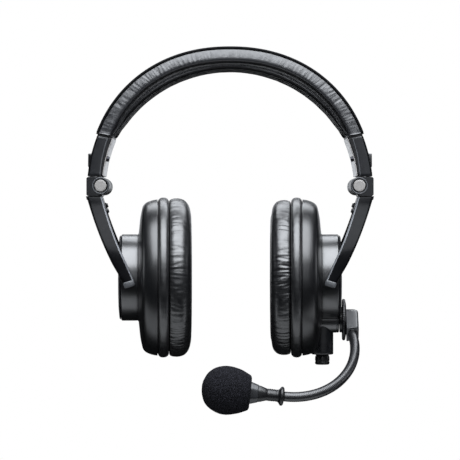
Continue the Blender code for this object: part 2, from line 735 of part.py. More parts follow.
def gooseneck_point(t):
    """A point of the boom's frame on the gooseneck's centre line, from 0 at the holder to 1."""
    weights = ((1 - t) ** 3, 3 * t * (1 - t) ** 2, 3 * t * t * (1 - t), t**3)
    x, y, drop = (sum(w * p[i] for w, p in zip(weights, GOOSENECK)) for i in range(3))
    return Vector((x, y, -drop))


def gooseneck_part(name, start, end, points, look, root=None):
    """A tube along part of the gooseneck. root adds a straight stretch inside the holder."""
    curve = bpy.data.curves.new(name + "_line", "CURVE")
    curve.dimensions = "3D"
    curve.bevel_depth = GOOSENECK_RADIUS * MM
    curve.bevel_resolution = 2
    curve.use_fill_caps = True
    line = [gooseneck_point(start + (end - start) * i / (points - 1)) for i in range(points)]
    if root is not None:
        line.insert(0, root)
    spline = curve.splines.new("POLY")
    spline.points.add(len(line) - 1)
    for slot, point in zip(spline.points, line):
        slot.co = (*(point * MM), 1)
    guide = bpy.data.objects.new(name + "_line", curve)
    bpy.context.scene.collection.objects.link(guide)
    mesh = bpy.data.meshes.new_from_object(guide.evaluated_get(bpy.context.evaluated_depsgraph_get()))
    bpy.data.objects.remove(guide)
    bm = bmesh.new()
    bm.from_mesh(mesh)
    bmesh.ops.scale(bm, vec=(1 / MM,) * 3, verts=bm.verts)
    return finish_mesh(bm, name, look)


def mic_frame():
    """Carries a solid turned about +X to the microphone's axis, which runs straight across the face."""
    toe_in = Matrix.Rotation(math.radians(-TOE_IN_DEG), 4, "Z")
    forward = Matrix.Rotation(math.radians(-BOOM_FORWARD_DEG), 4, "X")
    across = Matrix.Rotation(math.radians(180 + MIC_TILT_DEG), 4, "Y")
    matrix = (toe_in @ forward).inverted() @ across
    matrix.translation = gooseneck_point(1.0)
    return matrix


def mic_turned(name, profile, segments, look=None):
    return transformed(turned(name, profile, "X", (0, 0, 0), segments, look), mic_frame())


def mic_collar(look):
    profile = [(0.3, 0), (0.3, 4.6), (0.9, 5.3), (2.4, 5.3), (3.0, 4.0), (3.8, 3.3), (9.7, 3.5), (9.7, 0)]
    return mic_turned("mic_collar", profile, 20, look)


def mic_housing(half_name, front, look):
    """One half of the capsule's clamshell. front is -1 for the half towards the mouth's side."""
    rings = []
    for along, tall, deep in ((10.0, 3.4, 3.3), (15.0, 5.0, 4.4), (19.8, 6.4, 5.3), (26.2, 6.0, 5.1)):
        half = [(-tall, 0.15), (-tall, 0.55 * deep), (-0.5 * tall, deep), (0.5 * tall, deep), (tall, 0.55 * deep), (tall, 0.15)]
        rings.append([(along, front * y, z) for z, y in half])
    made = transformed(lofted(f"mic_housing_{half_name}", rings, look), mic_frame())
    pocket = mic_turned(f"capsule_pocket_{half_name}", [(20.9, 0), (20.9, 4.8), (40.0, 4.8), (40.0, 0)], 16)
    cut(made, pocket)
    return made, pocket


def mic_capsule(look):
    profile = [(21.2, 0), (21.2, 4.5), (26.6, 4.5), (27.0, 4.1), (27.0, 0)]
    return mic_turned("mic_capsule", profile, 16, look)


def windscreen(look):
    profile = [
        (46.9, 0), (46.1, 4.8), (44.0, 8.6), (40.4, 11.8), (35.4, 13.6), (30.9, 13.6), (25.9, 12.6),
        (22.0, 10.8), (19.6, 9.4), (19.2, 7.3), (30.0, 7.3), (30.0, 0),
    ]
    return mic_turned("windscreen", profile, 24, look)


# ---------------------------------------------------------------- assembly


def build_headband(looks):
    headband_cover(looks["leather"])
    headband_spring(looks["steel"])
    headband_pad(looks["leather"])
    for side in (-1, 1):
        end_housing(side, looks["plastic"])
        end_cover(side, looks["plastic"])
        end_screw(side, looks["steel"])
        end_badge(side, looks["plastic"])


def hang_with_tools(axis, place, obj):
    """Hangs an object and the cutters of its Booleans."""
    hang(axis, place, obj, *[m.object for m in obj.modifiers if m.type == "BOOLEAN"])


def build_side(side, looks):
    """One adjuster, hinge, yoke and cup. Returns the tilt axis's empty, its place and the cup's parts."""
    name = side_name(side)
    slide_place = (side * SLIDE_FOOT[0], 0, SLIDE_FOOT[1])
    slide = joint_axis(f"{name}_adjust_axis", slide_place)
    slider_parts = [
        slider_blade(side, looks["steel"]), hinge_block(side, looks["plastic"]),
        hinge_pin(side, looks["cap"]), hinge_pin_cap(side, looks["cap"]),
    ]
    for obj in slider_parts:
        hang_with_tools(slide, slide_place, obj)

    fold_place = (side * PIN_X, 0, PIN_Z)
    fold = joint_axis(f"{name}_fold_axis", fold_place, slide, slide_place)
    for obj in (hinge_knuckle(side, looks["plastic"]), swivel_screw(side, looks["steel"])):
        hang_with_tools(fold, fold_place, obj)

    swivel_place = (side * SWIVEL_X, 0, YOKE_TOP_Z)
    toe_in = (0, 0, math.radians(-side * TOE_IN_DEG))
    swivel = joint_axis(f"{name}_swivel_axis", swivel_place, fold, fold_place, toe_in)
    for obj in (yoke(side, looks["plastic"]), cable_grommet(side, looks["rubber"])):
        hang_with_tools(swivel, swivel_place, obj)

    tilt_place = (side * TILT_X, 0, CUP_Z)
    tilt = joint_axis(f"{name}_tilt_axis", tilt_place, swivel, swivel_place)
    housing, bore = rear_housing(side, looks["shell"])
    hang(tilt, tilt_place, housing, bore)
    cup_parts = (
        (cup_shell, "shell"), (rear_cap, "shell"), (baffle, "plastic"), (pad_skirt, "leather"),
        (ear_pad, "leather"), (driver_basket, "plastic"), (driver_magnet, "steel"),
        (driver_diaphragm, "film"), (driver_grille, "mesh"),
    )
    made = {rear_housing: housing}
    for make, look in cup_parts:
        made[make] = make(side, looks[look])
        hang(tilt, tilt_place, made[make])
    return tilt, tilt_place, made


def build_boom(tilt, tilt_place, cup, looks):
    room = barrel_room()
    hang(tilt, tilt_place, room)
    cut(cup[rear_housing], room)
    cut(cup[rear_cap], room)
    housing, tools = boom_housing(looks["plastic"])
    hang(tilt, tilt_place, housing, *tools)
    insert, holes = socket_insert(looks["rubber"])
    hang(tilt, tilt_place, cable_socket(looks["plastic"]), insert, *holes)

    swing_place = (0, 0, BOOM_Z)
    forward = (math.radians(-BOOM_FORWARD_DEG), 0, 0)
    swing = joint_axis("boom_swing_axis", swing_place, tilt, tilt_place, forward)
    holder, bore = boom_holder(looks["plastic"])
    root = Vector((GOOSENECK[0][0] + 0.1, 0, -5.0))
    lower = gooseneck_part("gooseneck_lower", 0.0, GOOSENECK_SPLIT - GOOSENECK_SPLIT_GAP, 9, looks["rubber"], root)
    hang(swing, (0, 0, 0), boom_hub(looks["plastic"]), boom_disc(looks["plastic"]), holder, bore, lower)

    flex_place = gooseneck_point(GOOSENECK_SPLIT)
    flex = joint_axis("gooseneck_flex_axis", flex_place, swing)
    upper = gooseneck_part("gooseneck_upper", GOOSENECK_SPLIT + GOOSENECK_SPLIT_GAP, 1.0, 9, looks["rubber"])
    front, front_pocket = mic_housing("front", -1, looks["plastic"])
    rear, rear_pocket = mic_housing("rear", 1, looks["plastic"])
    hang(flex, flex_place, upper, mic_collar(looks["rubber"]), front, front_pocket, rear, rear_pocket)
    hang(flex, flex_place, mic_capsule(looks["steel"]))

    pull_place = gooseneck_point(1.0)
    pull = joint_axis("windscreen_pull_axis", pull_place, flex, flex_place)
    hang(pull, pull_place, windscreen(looks["foam"]))


def main():
    clear_scene()
    looks = make_materials()
    build_headband(looks)
    for side in (-1, 1):
        tilt, tilt_place, cup = build_side(side, looks)
        if side > 0:
            build_boom(tilt, tilt_place, cup, looks)


main()
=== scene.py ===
import json
from math import atan, ceil, copysign, cos, exp, pi, radians, sin, sqrt

import bmesh
import bpy
from mathutils import Matrix, Vector, noise


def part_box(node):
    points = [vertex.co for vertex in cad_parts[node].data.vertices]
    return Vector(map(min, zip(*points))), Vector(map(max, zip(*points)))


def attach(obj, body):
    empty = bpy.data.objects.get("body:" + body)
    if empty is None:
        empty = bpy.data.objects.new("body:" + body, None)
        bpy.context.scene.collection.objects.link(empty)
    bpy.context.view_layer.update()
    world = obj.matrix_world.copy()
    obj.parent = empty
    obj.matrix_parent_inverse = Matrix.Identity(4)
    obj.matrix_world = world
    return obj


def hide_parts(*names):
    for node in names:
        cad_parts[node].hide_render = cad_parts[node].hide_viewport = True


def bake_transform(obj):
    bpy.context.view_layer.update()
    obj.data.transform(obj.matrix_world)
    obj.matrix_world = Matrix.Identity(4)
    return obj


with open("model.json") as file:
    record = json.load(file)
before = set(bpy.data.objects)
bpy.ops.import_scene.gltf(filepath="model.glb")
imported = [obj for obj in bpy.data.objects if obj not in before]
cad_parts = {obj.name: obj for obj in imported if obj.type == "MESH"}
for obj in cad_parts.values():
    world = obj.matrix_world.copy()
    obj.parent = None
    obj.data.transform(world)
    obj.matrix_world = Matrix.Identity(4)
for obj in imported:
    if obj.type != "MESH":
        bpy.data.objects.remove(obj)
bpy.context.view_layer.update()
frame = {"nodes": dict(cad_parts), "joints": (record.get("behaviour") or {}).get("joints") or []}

# Lengths are in millimetres up to build(), which turns them into metres.
MM = 0.001
SIDES = ((-1, "left"), (1, "right"))
ENDS = ((-1, "front"), (1, "rear"))
JOINTS = {joint["name"]: joint for joint in frame["joints"]}


def joint_place(name):
    return Vector(JOINTS[name]["pos_m"]) / MM


def box_middle(node):
    low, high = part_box(node)
    return (low + high) / (2 * MM)


# ---- where things are

PIN_X, PIN_Z = box_middle("right_hinge_pin_cap").x, box_middle("right_hinge_pin_cap").z
SWIVEL_X = box_middle("right_swivel_screw").x
CUP_Z = joint_place("right_tilt").z
BOOM_Z = joint_place("boom_swing").z
TOE_DEG = 2.0
BOOM_FORWARD_DEG = 60.0
MIC_TILT_DEG = 6.2
BAND_TOP_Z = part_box("headband_cover")[1].z / MM
YOKE_TOP_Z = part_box("right_yoke")[1].z / MM

BAND_A, BAND_B, BAND_POWER = 84.8, 85.0, 2.15
UNDERSIDE_RADIUS = 78.0
COVER_END_DEG = 66.9
HOUSING_DEG = (67.7, 84.4)
SLIDE_LEAN_DEG = 10.0
SLIDE_FOOT = (80.1, -64)
GOOSENECK = ((72.7, 0, 14.5), (79.8, 0, 50.3), (61.1, 3.1, 81.5), (33.1, 0, 80.8))


def moved(x, y, z):
    return Matrix.Translation((x, y, z))


def spun(degrees, axis):
    return Matrix.Rotation(radians(degrees), 4, axis)


def mirror(side):
    """Carries the right side's pieces to either side."""
    return Matrix.Identity(4) if side > 0 else Matrix.Diagonal((-1, 1, 1, 1))


def toed(side):
    """From a cup's own frame, square to the mid-plane, to the world."""
    pivot = moved(side * SWIVEL_X, 0, 0)
    return pivot @ spun(-side * TOE_DEG, "Z") @ pivot.inverted()


def cup_place(side):
    """Carries a solid turned about +X, with x counted from the mid-plane, to a cup."""
    return toed(side) @ moved(0, 0, CUP_Z) @ mirror(side)


BOOM_AXIS = toed(1) @ moved(0, 0, BOOM_Z)
BOOM = BOOM_AXIS @ spun(-BOOM_FORWARD_DEG, "X")


def gooseneck_point(t):
    weights = ((1 - t) ** 3, 3 * t * (1 - t) ** 2, 3 * t * t * (1 - t), t**3)
    x, y, drop = (sum(w * p[i] for w, p in zip(weights, GOOSENECK)) for i in range(3))
    return Vector((x, y, -drop))


MIC = moved(*(BOOM @ gooseneck_point(1.0))) @ spun(180 + MIC_TILT_DEG, "Y")


def slide_place(side):
    """Carries (across, y, along) to an adjuster: along runs up its line of travel."""
    lean = radians(SLIDE_LEAN_DEG)
    across, along = cos(lean), sin(lean)
    columns = ((side * across, 0, along), (0, 1, 0), (-side * along, 0, across))
    matrix = Matrix(columns).transposed().to_4x4()
    matrix.translation = (side * SLIDE_FOOT[0], 0, SLIDE_FOOT[1])
    return matrix


def along_y(side, x, z, end):
    """Carries a solid turned about +X to an axis that runs back, or forward, from (x, z)."""
    return moved(side * x, 0, z) @ spun(end * 90, "Z")


def along_z(x, y=0.0):
    """Carries a solid turned about +X to an upright axis."""
    return moved(x, y, 0) @ spun(-90, "Y")


# ---- materials


def node(tree, kind, **values):
    made = tree.nodes.new(f"ShaderNode{kind}")
    for key, value in values.items():
        if key in made.inputs:
            made.inputs[key].default_value = value
        else:
            setattr(made, key, value)
    return made


def textured(tree, kind, where, size_mm, **values):
    made = node(tree, kind, Scale=1 / (size_mm * MM), **values)
    tree.links.new(where, made.inputs["Vector"])
    return made


def stretched(tree, where, scale):
    made = node(tree, "Mapping", Scale=scale)
    tree.links.new(where, made.inputs["Vector"])
    return made.outputs[0]


def ranged(tree, source, low, high, to_low, to_high):
    """A value carried from one range to another."""
    limits = {"From Min": low, "From Max": high, "To Min": to_low, "To Max": to_high}
    made = node(tree, "MapRange", **limits)
    tree.links.new(source, made.inputs["Value"])
    return made.outputs["Result"]


def combined(tree, operation, *sources):
    made = node(tree, "Math", operation=operation)
    for source, socket in zip(sources, made.inputs):
        tree.links.new(source, socket)
    return made.outputs[0]


# Each grain's texture, its settings and the output that gives its height.
GRAINS = {
    "noise": ("TexNoise", {"Detail": 3.0}, "Fac"),
    "brushed": ("TexNoise", {"Detail": 2.0}, "Fac"),
    "cells": ("TexVoronoi", {"feature": "SMOOTH_F1"}, "Distance"),
    "weave": ("TexVoronoi", {"distance": "CHEBYCHEV", "Randomness": 0.15}, "Distance"),
}
BRUSHED_STRETCH = (1, 1, 0.03)
SHEEN_ROUGHNESS = 0.4
SPECKLE_MM = 0.32


def material(
    name, colour, roughness, metallic=0.0, specular=0.5, mottle=0.18, mottle_mm=9.0, spread=0.06,
    grain_mm=0.35, grain_depth=0.02, grain_kind="noise",
    crease_mm=None, crease_depth=0.05, crease_stretch=(1, 1, 1),
    wear=0.0, sheen=0.0, coat=0.0, coat_roughness=0.2, speckle=0.0, anisotropic=0.0,
):
    """A surface whose colour, roughness and relief vary at their own scales, in object coordinates."""
    made = bpy.data.materials.new(name)
    made.use_nodes = True
    tree = made.node_tree
    shader = tree.nodes["Principled BSDF"]
    link = tree.links.new
    sockets = {
        "Metallic": metallic, "Specular IOR Level": specular, "Anisotropic": anisotropic,
        "Sheen Weight": sheen, "Sheen Roughness": SHEEN_ROUGHNESS,
        "Coat Weight": coat, "Coat Roughness": coat_roughness,
    }
    for key, value in sockets.items():
        shader.inputs[key].default_value = value
    where = node(tree, "TexCoord").outputs["Object"]

    cloud = textured(tree, "TexNoise", where, mottle_mm, Detail=4.0, Roughness=0.6).outputs["Fac"]
    strength = ranged(tree, cloud, 0.3, 0.7, 1 - mottle, 1 + mottle)
    if speckle:
        fine = textured(tree, "TexNoise", where, SPECKLE_MM, Detail=2.0)
        flecks = ranged(tree, fine.outputs["Fac"], 0.45, 0.75, 1 - speckle * 0.4, 1 + speckle)
        strength = combined(tree, "MULTIPLY", strength, flecks)
    if wear:
        edge = node(tree, "NewGeometry").outputs["Pointiness"]
        rubbed = ranged(tree, edge, 0.52, 0.62, 0.0, wear)
        strength = combined(tree, "ADD", strength, combined(tree, "MULTIPLY", rubbed, cloud))
    scaled = node(tree, "VectorMath", operation="SCALE")
    scaled.inputs[0].default_value = colour
    link(strength, scaled.inputs["Scale"])
    link(scaled.outputs[0], shader.inputs["Base Color"])

    patch = textured(tree, "TexNoise", where, mottle_mm * 0.35, Detail=3.0)
    limits = max(0.02, roughness - spread), min(1.0, roughness + spread)
    link(ranged(tree, patch.outputs["Fac"], 0.3, 0.7, *limits), shader.inputs["Roughness"])

    kind, values, relief = GRAINS[grain_kind]
    grain_where = stretched(tree, where, BRUSHED_STRETCH) if grain_kind == "brushed" else where
    grain = textured(tree, kind, grain_where, grain_mm, **values)
    bump = node(tree, "Bump", Strength=1.0, Distance=grain_depth * MM)
    link(grain.outputs[relief], bump.inputs["Height"])
    if crease_mm:
        crease_where = stretched(tree, where, crease_stretch)
        crease = textured(tree, "TexNoise", crease_where, crease_mm, Detail=4.0, Distortion=0.6)
        folds = node(tree, "Bump", Strength=1.0, Distance=crease_depth * MM)
        link(crease.outputs["Fac"], folds.inputs["Height"])
        link(folds.outputs[0], bump.inputs["Normal"])
    link(bump.outputs[0], shader.inputs["Normal"])
    return made


FINE_HIDE = {
    "grain_kind": "cells", "grain_mm": 0.45, "grain_depth": 0.022, "crease_mm": 2.0,
    "mottle": 0.2, "spread": 0.05,
}
SATIN_GRAIN = {"grain_mm": 1.6, "grain_depth": 0.0015}
TURNED_GRAIN = {"grain_mm": 3.0, "grain_depth": 0.0006, "spread": 0.02}

LEATHER = material(
    "headband_leather", (0.012, 0.0125, 0.0145), 0.38, mottle=0.2, specular=0.8, grain_kind="cells",
    grain_mm=0.5, grain_depth=0.03, crease_mm=2.4, crease_depth=0.1, crease_stretch=(1, 1, 0.5),
)
BAND_PAD = material("band_pad_leather", (0.004, 0.0042, 0.005), 0.45, specular=0.35, **FINE_HIDE)
PAD_LEATHER = material("pad_leather", (0.0034, 0.0036, 0.0043), 0.36, specular=0.9, **FINE_HIDE)
# Painted shade: a dull near-black for the welt along the band's top edges.
PIPING_SHADE = material(
    "piping_painted_shade_leather", (0.002, 0.0021, 0.0025), 0.6, specular=0.06, grain_mm=0.45, grain_depth=0.01)
THREAD = material("stitching_thread", (0.01, 0.01, 0.012), 0.6, grain_mm=0.1, sheen=0.1)
SATIN = material("satin_plastic", (0.0045, 0.0048, 0.0057), 0.32, specular=0.42, **SATIN_GRAIN)
# Painted light: the lid is lighter than the other satin blacks so its flat face looks lit from the side.
LID_PAINTED_LIGHT = material("lid_painted_light_plastic", (0.011, 0.0116, 0.0132), 0.36, **SATIN_GRAIN)
SHELL_SATIN = material(
    "shell_satin_plastic", (0.0026, 0.0028, 0.0034), 0.32, specular=0.65, **TURNED_GRAIN)
DRUM = material(
    "drum_satin_plastic", (0.0055, 0.0059, 0.0068), 0.31, specular=1.0, mottle=0.1, **TURNED_GRAIN)
YOKE = material("yoke_satin_plastic", (0.0028, 0.003, 0.0036), 0.33, specular=0.07, **SATIN_GRAIN)
# Painted highlight for the yoke's inner chamfer.
YOKE_EDGE_HIGHLIGHT = material("yoke_edge_painted_highlight", (0.13, 0.135, 0.145), 0.36, **SATIN_GRAIN)
# Painted highlight for the arm tips, lighter than the yoke's own black.
FOOT_HIGHLIGHT = material("yoke_foot_painted_highlight", (0.048, 0.05, 0.054), 0.36, **SATIN_GRAIN)
HOUSING = material("housing_satin_plastic", (0.006, 0.0065, 0.008), 0.32, specular=0.42, **SATIN_GRAIN)
# Painted shade: a deeper, duller black for outward-turned rims, standing in for the dark band along those edges.
RIM_SHADE = material("rim_painted_shade_plastic", (0.0014, 0.0015, 0.0018), 0.45, specular=0.08, **SATIN_GRAIN)
TAB = material("tab_satin_plastic", (0.055, 0.057, 0.062), 0.38, **SATIN_GRAIN)
HOLDER = material("holder_satin_plastic", (0.015, 0.0157, 0.0175), 0.34, **SATIN_GRAIN)
BLACK = material("black_plastic", (0.004, 0.0041, 0.0047), 0.36, specular=0.4, **SATIN_GRAIN)
CAP = material("hinge_cap", (0.225, 0.216, 0.208), 0.38, mottle=0.05, **SATIN_GRAIN)
GLOSS = material(
    "gloss_plastic", (0.33, 0.315, 0.305), 0.32, grain_mm=4.0, grain_depth=0.003, coat=0.4, coat_roughness=0.12)
RUBBER = material(
    "black_rubber", (0.006, 0.0063, 0.0073), 0.34, specular=0.7, grain_mm=0.3, grain_depth=0.004, mottle_mm=4.0)
SPRING = material(
    "spring_steel", (0.42, 0.42, 0.43), 0.3, metallic=1.0, grain_kind="brushed", grain_mm=0.1,
    grain_depth=0.01, anisotropic=0.4,
)
SCREW = material(
    "screw_steel", (0.03, 0.03, 0.034), 0.34, metallic=1.0, grain_mm=0.2, grain_depth=0.005, wear=1.0)
MAGNET = material("magnet_steel", (0.36, 0.36, 0.37), 0.38, metallic=1.0, grain_mm=0.2, grain_depth=0.01)
FILM = material("diaphragm_film", (0.34, 0.33, 0.3), 0.24, mottle=0.06, grain_mm=1.0, coat=0.3)
CLOTH = material(
    "grille_cloth", (0.01, 0.01, 0.012), 0.85, grain_kind="weave", grain_mm=0.42, grain_depth=0.12, sheen=0.1)
FOAM = material(
    "foam", (0.0095, 0.0095, 0.0118), 0.95, specular=0.06, mottle=0.35, mottle_mm=1.4, speckle=2.2,
    grain_kind="cells", grain_mm=0.6, grain_depth=0.3,
)


# ---- meshes


def build(name, points, faces, look, place=None, sharp=None, weld=True):
    """An object from points in millimetres, its faces turned outwards."""
    place = place or Matrix.Identity(4)
    bm = bmesh.new()
    verts = [bm.verts.new((place @ Vector(p)) * MM) for p in points]
    for face in faces:
        bm.faces.new([verts[i] for i in face])
    if weld:
        bmesh.ops.remove_doubles(bm, verts=bm.verts, dist=1e-6)
    bmesh.ops.dissolve_degenerate(bm, edges=bm.edges, dist=1e-7)
    bmesh.ops.recalc_face_normals(bm, faces=bm.faces)
    mesh = bpy.data.meshes.new(name)
    bm.to_mesh(mesh)
    bm.free()
    mesh.materials.append(look)
    mesh.shade_smooth()
    if sharp:
        mesh.set_sharp_from_angle(angle=radians(sharp))
    made = bpy.data.objects.new(name, mesh)
    bpy.context.scene.collection.objects.link(made)
    return made


def piece(made, body, slot, *replaced):
    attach(made, body)
    if replaced:
        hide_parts(*replaced)
    return made


def corner(here, before, after, size, most, steps):
    """A rounded corner's points. It takes up no more than a share, most, of either side."""
    start = here + before.normalized() * min(size, most * before.length)
    end = here + after.normalized() * min(size, most * after.length)
    shares = [k / steps for k in range(steps + 1)]
    return [start * (1 - t) ** 2 + here * 2 * t * (1 - t) + end * t * t for t in shares]


def rounded(points, radius=0, steps=4):
    """An outline with its corners rounded. A point may carry its own radius as a third number."""
    result, count = [], len(points)
    for i, point in enumerate(points):
        here = Vector(point[:2])
        before, after = (Vector(points[j % count][:2]) - here for j in (i - 1, i + 1))
        own = point[2] if len(point) > 2 else radius
        result += [tuple(p) for p in (corner(here, before, after, own, 0.48, steps) if own > 0 else [here])]
    return result


def spaced(points, gap):
    """An outline with points added so that none are further apart than gap."""
    result = []
    for i, point in enumerate(points):
        a, b = Vector(point), Vector(points[(i + 1) % len(points)])
        steps = max(1, ceil((b - a).length / gap))
        result += [tuple(a.lerp(b, k / steps)) for k in range(steps)]
    return result


def spline(a, b, c, d, t):
    """A point on the smooth curve from b to c, which a and d lead in and out."""
    return tuple(0.5 * (
        2 * b + (c - a) * t + (2 * a - 5 * b + 4 * c - d) * t * t + (3 * b - 3 * c + d - a) * t**3))


def loft(name, rings, look, place=None, sharp=None, edge=0.0):
    """A closed surface through rings of points. edge rounds the two end caps off."""
    rings = [[Vector(p) for p in ring] for ring in rings]
    if edge:
        rings = eased_end(rings, edge)
        rings = eased_end(rings[::-1], edge)[::-1]
    count = len(rings[0])
    points = [p for ring in rings for p in ring]
    faces = []
    for i in range(len(rings) - 1):
        for j in range(count):
            k = (j + 1) % count
            faces.append((i * count + j, i * count + k, (i + 1) * count + k, (i + 1) * count + j))
    last = (len(rings) - 1) * count
    faces += [tuple(range(count)), tuple(range(last, last + count))]
    return build(name, points, faces, look, place, sharp)


def eased_end(rings, edge):
    """Replaces the first ring with a rounded run-in of three."""
    first, second = rings[0], rings[1]
    centre = sum(first, Vector()) / len(first)
    run = (second[0] - first[0]).length
    result = []
    for inset, along in ((1, 0), (0.35, 0.3), (0, 1)):
        ring = []
        for a, b in zip(first, second):
            inward = centre - a
            shifted = a + inward.normalized() * min(edge * inset, 0.5 * inward.length)
            ring.append(shifted + (b - a) * min(0.9, edge * along / run))
        result.append(ring)
    return result + rings[1:]


def lathe(name, profile, look, place=None, segments=96, shape=None, sharp=None):
    """A solid turned about +X. profile holds (x, r); shape(x, r, angle) may move a point."""
    rings = []
    for i in range(segments):
        angle = 2 * pi * i / segments
        ring = []
        for x, r in profile:
            if shape and r > 1e-6:
                x, r = shape(x, r, angle)
            ring.append((x, r * cos(angle), r * sin(angle)))
        rings.append(ring)
    count = len(profile)
    points = [p for ring in rings for p in ring]
    on_axis = [r < 1e-6 for _, r in profile]
    faces = []
    for i in range(segments):
        n = (i + 1) % segments
        for j in range(count):
            k = (j + 1) % count
            a, b, c, d = i * count + j, i * count + k, n * count + k, n * count + j
            if not (on_axis[j] and on_axis[k]):
                faces.append((a, b, c) if on_axis[j] else (a, b, d) if on_axis[k] else (a, b, c, d))
    return build(name, points, faces, look, place, sharp)


def prism(name, outline, low, high, look, place=None, edge=0.5):
    """An outline in (x, z) run back from low to high in y, its two rims rounded by edge."""
    rings = [[(x, y, z) for x, z in outline] for y in (low, (low + high) / 2, high)]
    return loft(name, rings, look, place, edge=edge)


def moulding(node_name, look, width, segments, limit=28, name=None):
    """A copy of a CAD solid with its edges eased."""
    bm = bmesh.new()
    bm.from_mesh(frame["nodes"][node_name].data)
    bmesh.ops.remove_doubles(bm, verts=bm.verts, dist=2e-6)
    bmesh.ops.dissolve_limit(bm, angle_limit=radians(1), verts=bm.verts, edges=bm.edges)
    points = [v.co / MM for v in bm.verts]
    bm.verts.index_update()
    faces = [[v.index for v in f.verts] for f in bm.faces]
    bm.free()
    made = build(name or f"{node_name}_moulding", points, faces, look, sharp=40, weld=False)
    bevel = made.modifiers.new("eased", "BEVEL")
    bevel.width, bevel.segments, bevel.harden_normals = width * MM, segments, True
    bevel.limit_method, bevel.angle_limit = "ANGLE", radians(limit)
    return made


def cut(target, cutter):
    """Takes the cutter out of the target for good."""
    modifier = target.modifiers.new("cut", "BOOLEAN")
    modifier.operation, modifier.solver, modifier.object = "DIFFERENCE", "EXACT", cutter
    bpy.context.view_layer.update()
    mesh = bpy.data.meshes.new_from_object(target.evaluated_get(bpy.context.evaluated_depsgraph_get()))
    target.modifiers.clear()
    target.data = mesh
    mesh.name = target.name
    bpy.data.objects.remove(cutter)
    mesh.shade_smooth()
    mesh.set_sharp_from_angle(angle=radians(35))


def ripple(*where):
    """Smooth noise from -1 to 1 at a place given in its own units."""
    return noise.noise(Vector(where))


# ---- headband


def outline_point(angle_deg, inset=0.0):
    angle = radians(angle_deg)
    a, b = BAND_A - inset, BAND_B - inset
    reach = (abs(sin(angle)) / a) ** BAND_POWER + (abs(cos(angle)) / b) ** BAND_POWER
    radius = reach ** (-1 / BAND_POWER)
    return Vector((radius * sin(angle), BAND_TOP_Z - BAND_B + radius * cos(angle)))


def band_ray(angle_deg):
    lean = radians(angle_deg * 1.2)
    return outline_point(angle_deg), Vector((-sin(lean), -cos(lean)))


def underside_depth(angle_deg):
    start, inward = band_ray(angle_deg)
    offset = start - Vector((0, -UNDERSIDE_RADIUS))
    half_b = offset.dot(inward)
    return -half_b - sqrt(half_b**2 - offset.length_squared + UNDERSIDE_RADIUS**2)


def band_ring(angle_deg, section):
    start, inward = band_ray(angle_deg)
    return [(start.x + inward.x * d, y, start.y + inward.y * d) for y, d in section]


def mirrored(half):
    """A section's rear half, and the same points mirrored for its front."""
    return half + [(-y, d) for y, d in reversed(half)]


def swollen(section, amount):
    """A section with each point moved out by amount(y, depth), along its own normal."""
    result, count = [], len(section)
    for i, (y, d) in enumerate(section):
        before, after = section[i - 1], section[(i + 1) % count]
        tangent = Vector((after[0] - before[0], after[1] - before[1]))
        if tangent.length < 1e-9:
            result.append((y, d))
            continue
        normal = Vector((-tangent.y, tangent.x)).normalized()
        out = amount(y, d)
        result.append((y + normal.x * out, d + normal.y * out))
    return result


def band_angles(steps, limit):
    """Even angles across the band, with closer ones over the last degree at each end."""
    near = [1.1 * (1 - cos(radians(15 * i))) for i in range(6)]
    even = [limit * (2 * i / steps - 1) for i in range(steps + 1)]
    middle = [a for a in even if abs(a) < limit - 1.1]
    return [a - limit for a in near] + middle + [limit - a for a in reversed(near)]


def end_taper(angle, limit, reach):
    """From 0 at a soft piece's end to 1 a little way in, as a quarter circle."""
    left = min(1.0, max(0.0, (limit - abs(angle)) / reach))
    return sqrt(max(0.0, 1 - (1 - left) ** 2))


def headband_cover():
    half = [
        (12, 0.05), (16, 0.3), (17.3, 0.9), (17.8, 2), (18.35, 3.8), (18.75, 5.6), (19, 7.3), (18.4, 8.7),
        (17, 9.1), (15.6, 8.6), (14.6, 7.4), (12, 6.9),
    ]
    section = spaced(rounded(mirrored(half), 1.2, 3), 0.85)

    def crease(y, d, angle):
        side = min(1.0, max(0.0, (abs(y) - 15.5) / 3.0)) * min(1.0, d / 2.0)
        arc = angle * 1.48 + 0.35 * ripple(angle * 0.11, d * 0.3, 7.0)
        patch = 0.55 + 0.45 * ripple(angle * 0.09, 3.0, y * 0.02)
        fine = ripple(arc / 1.5, d / 7.0, 11.0 + copysign(5, y)) + 0.4 * ripple(arc / 0.8, d / 4.0, 31.0)
        broad = ripple(arc / 4.5, d / 9.0, 47.0 + copysign(5, y))
        return side * (0.25 * patch * fine + 0.15 * broad) + 0.03 * ripple(arc / 3.0, y / 5.0, 61.0)

    rings = []
    for angle in band_angles(460, COVER_END_DEG):
        full = end_taper(angle, COVER_END_DEG, 0.5)
        ring = swollen(section, lambda y, d: crease(y, d, angle) * full - 0.6 * (1 - full))
        rings.append(band_ring(angle, ring))
    made = loft("headband_cover_leather", rings, LEATHER)
    piece(made, "headband", "headband_leather", "headband_cover")


def headband_piping():
    """A welt sewn along the cover's upper edges, in a dull near-black that is painted shade for the dark line along
    the band's top.
    """
    radius, out, depth, sides = 0.95, 17.35, 0.9, 12
    turns = [2 * pi * k / sides for k in range(sides)]
    for front, label in ENDS:
        rings = []
        for angle in band_angles(260, COVER_END_DEG):
            thick = radius * (0.35 + 0.65 * end_taper(angle, COVER_END_DEG, 0.6))
            section = [(front * out + thick * cos(t), depth + thick * sin(t)) for t in turns]
            rings.append(band_ring(angle, section))
        piece(loft(f"headband_piping_{label}", rings, PIPING_SHADE), "headband", "headband_leather")


def seam_depth(floor):
    """How deep the pad's stitched seam runs, for an underside at floor."""
    return 9.8 + 0.35 * (floor - 9.8)


def pad_section(floor):
    seam = seam_depth(floor)
    return mirrored([
        (15.4, 8.3), (15.9, 9.2), (16.3, seam - 0.3), (16, seam + 0.3), (16.6, seam + 0.9),
        (16.5, floor - 1.1), (15.2, floor - 0.15), (12, floor + 0.12), (7, floor + 0.05), (6.2, floor - 0.35),
        (5.4, floor + 0.05), (2.5, floor + 0.15),
    ])


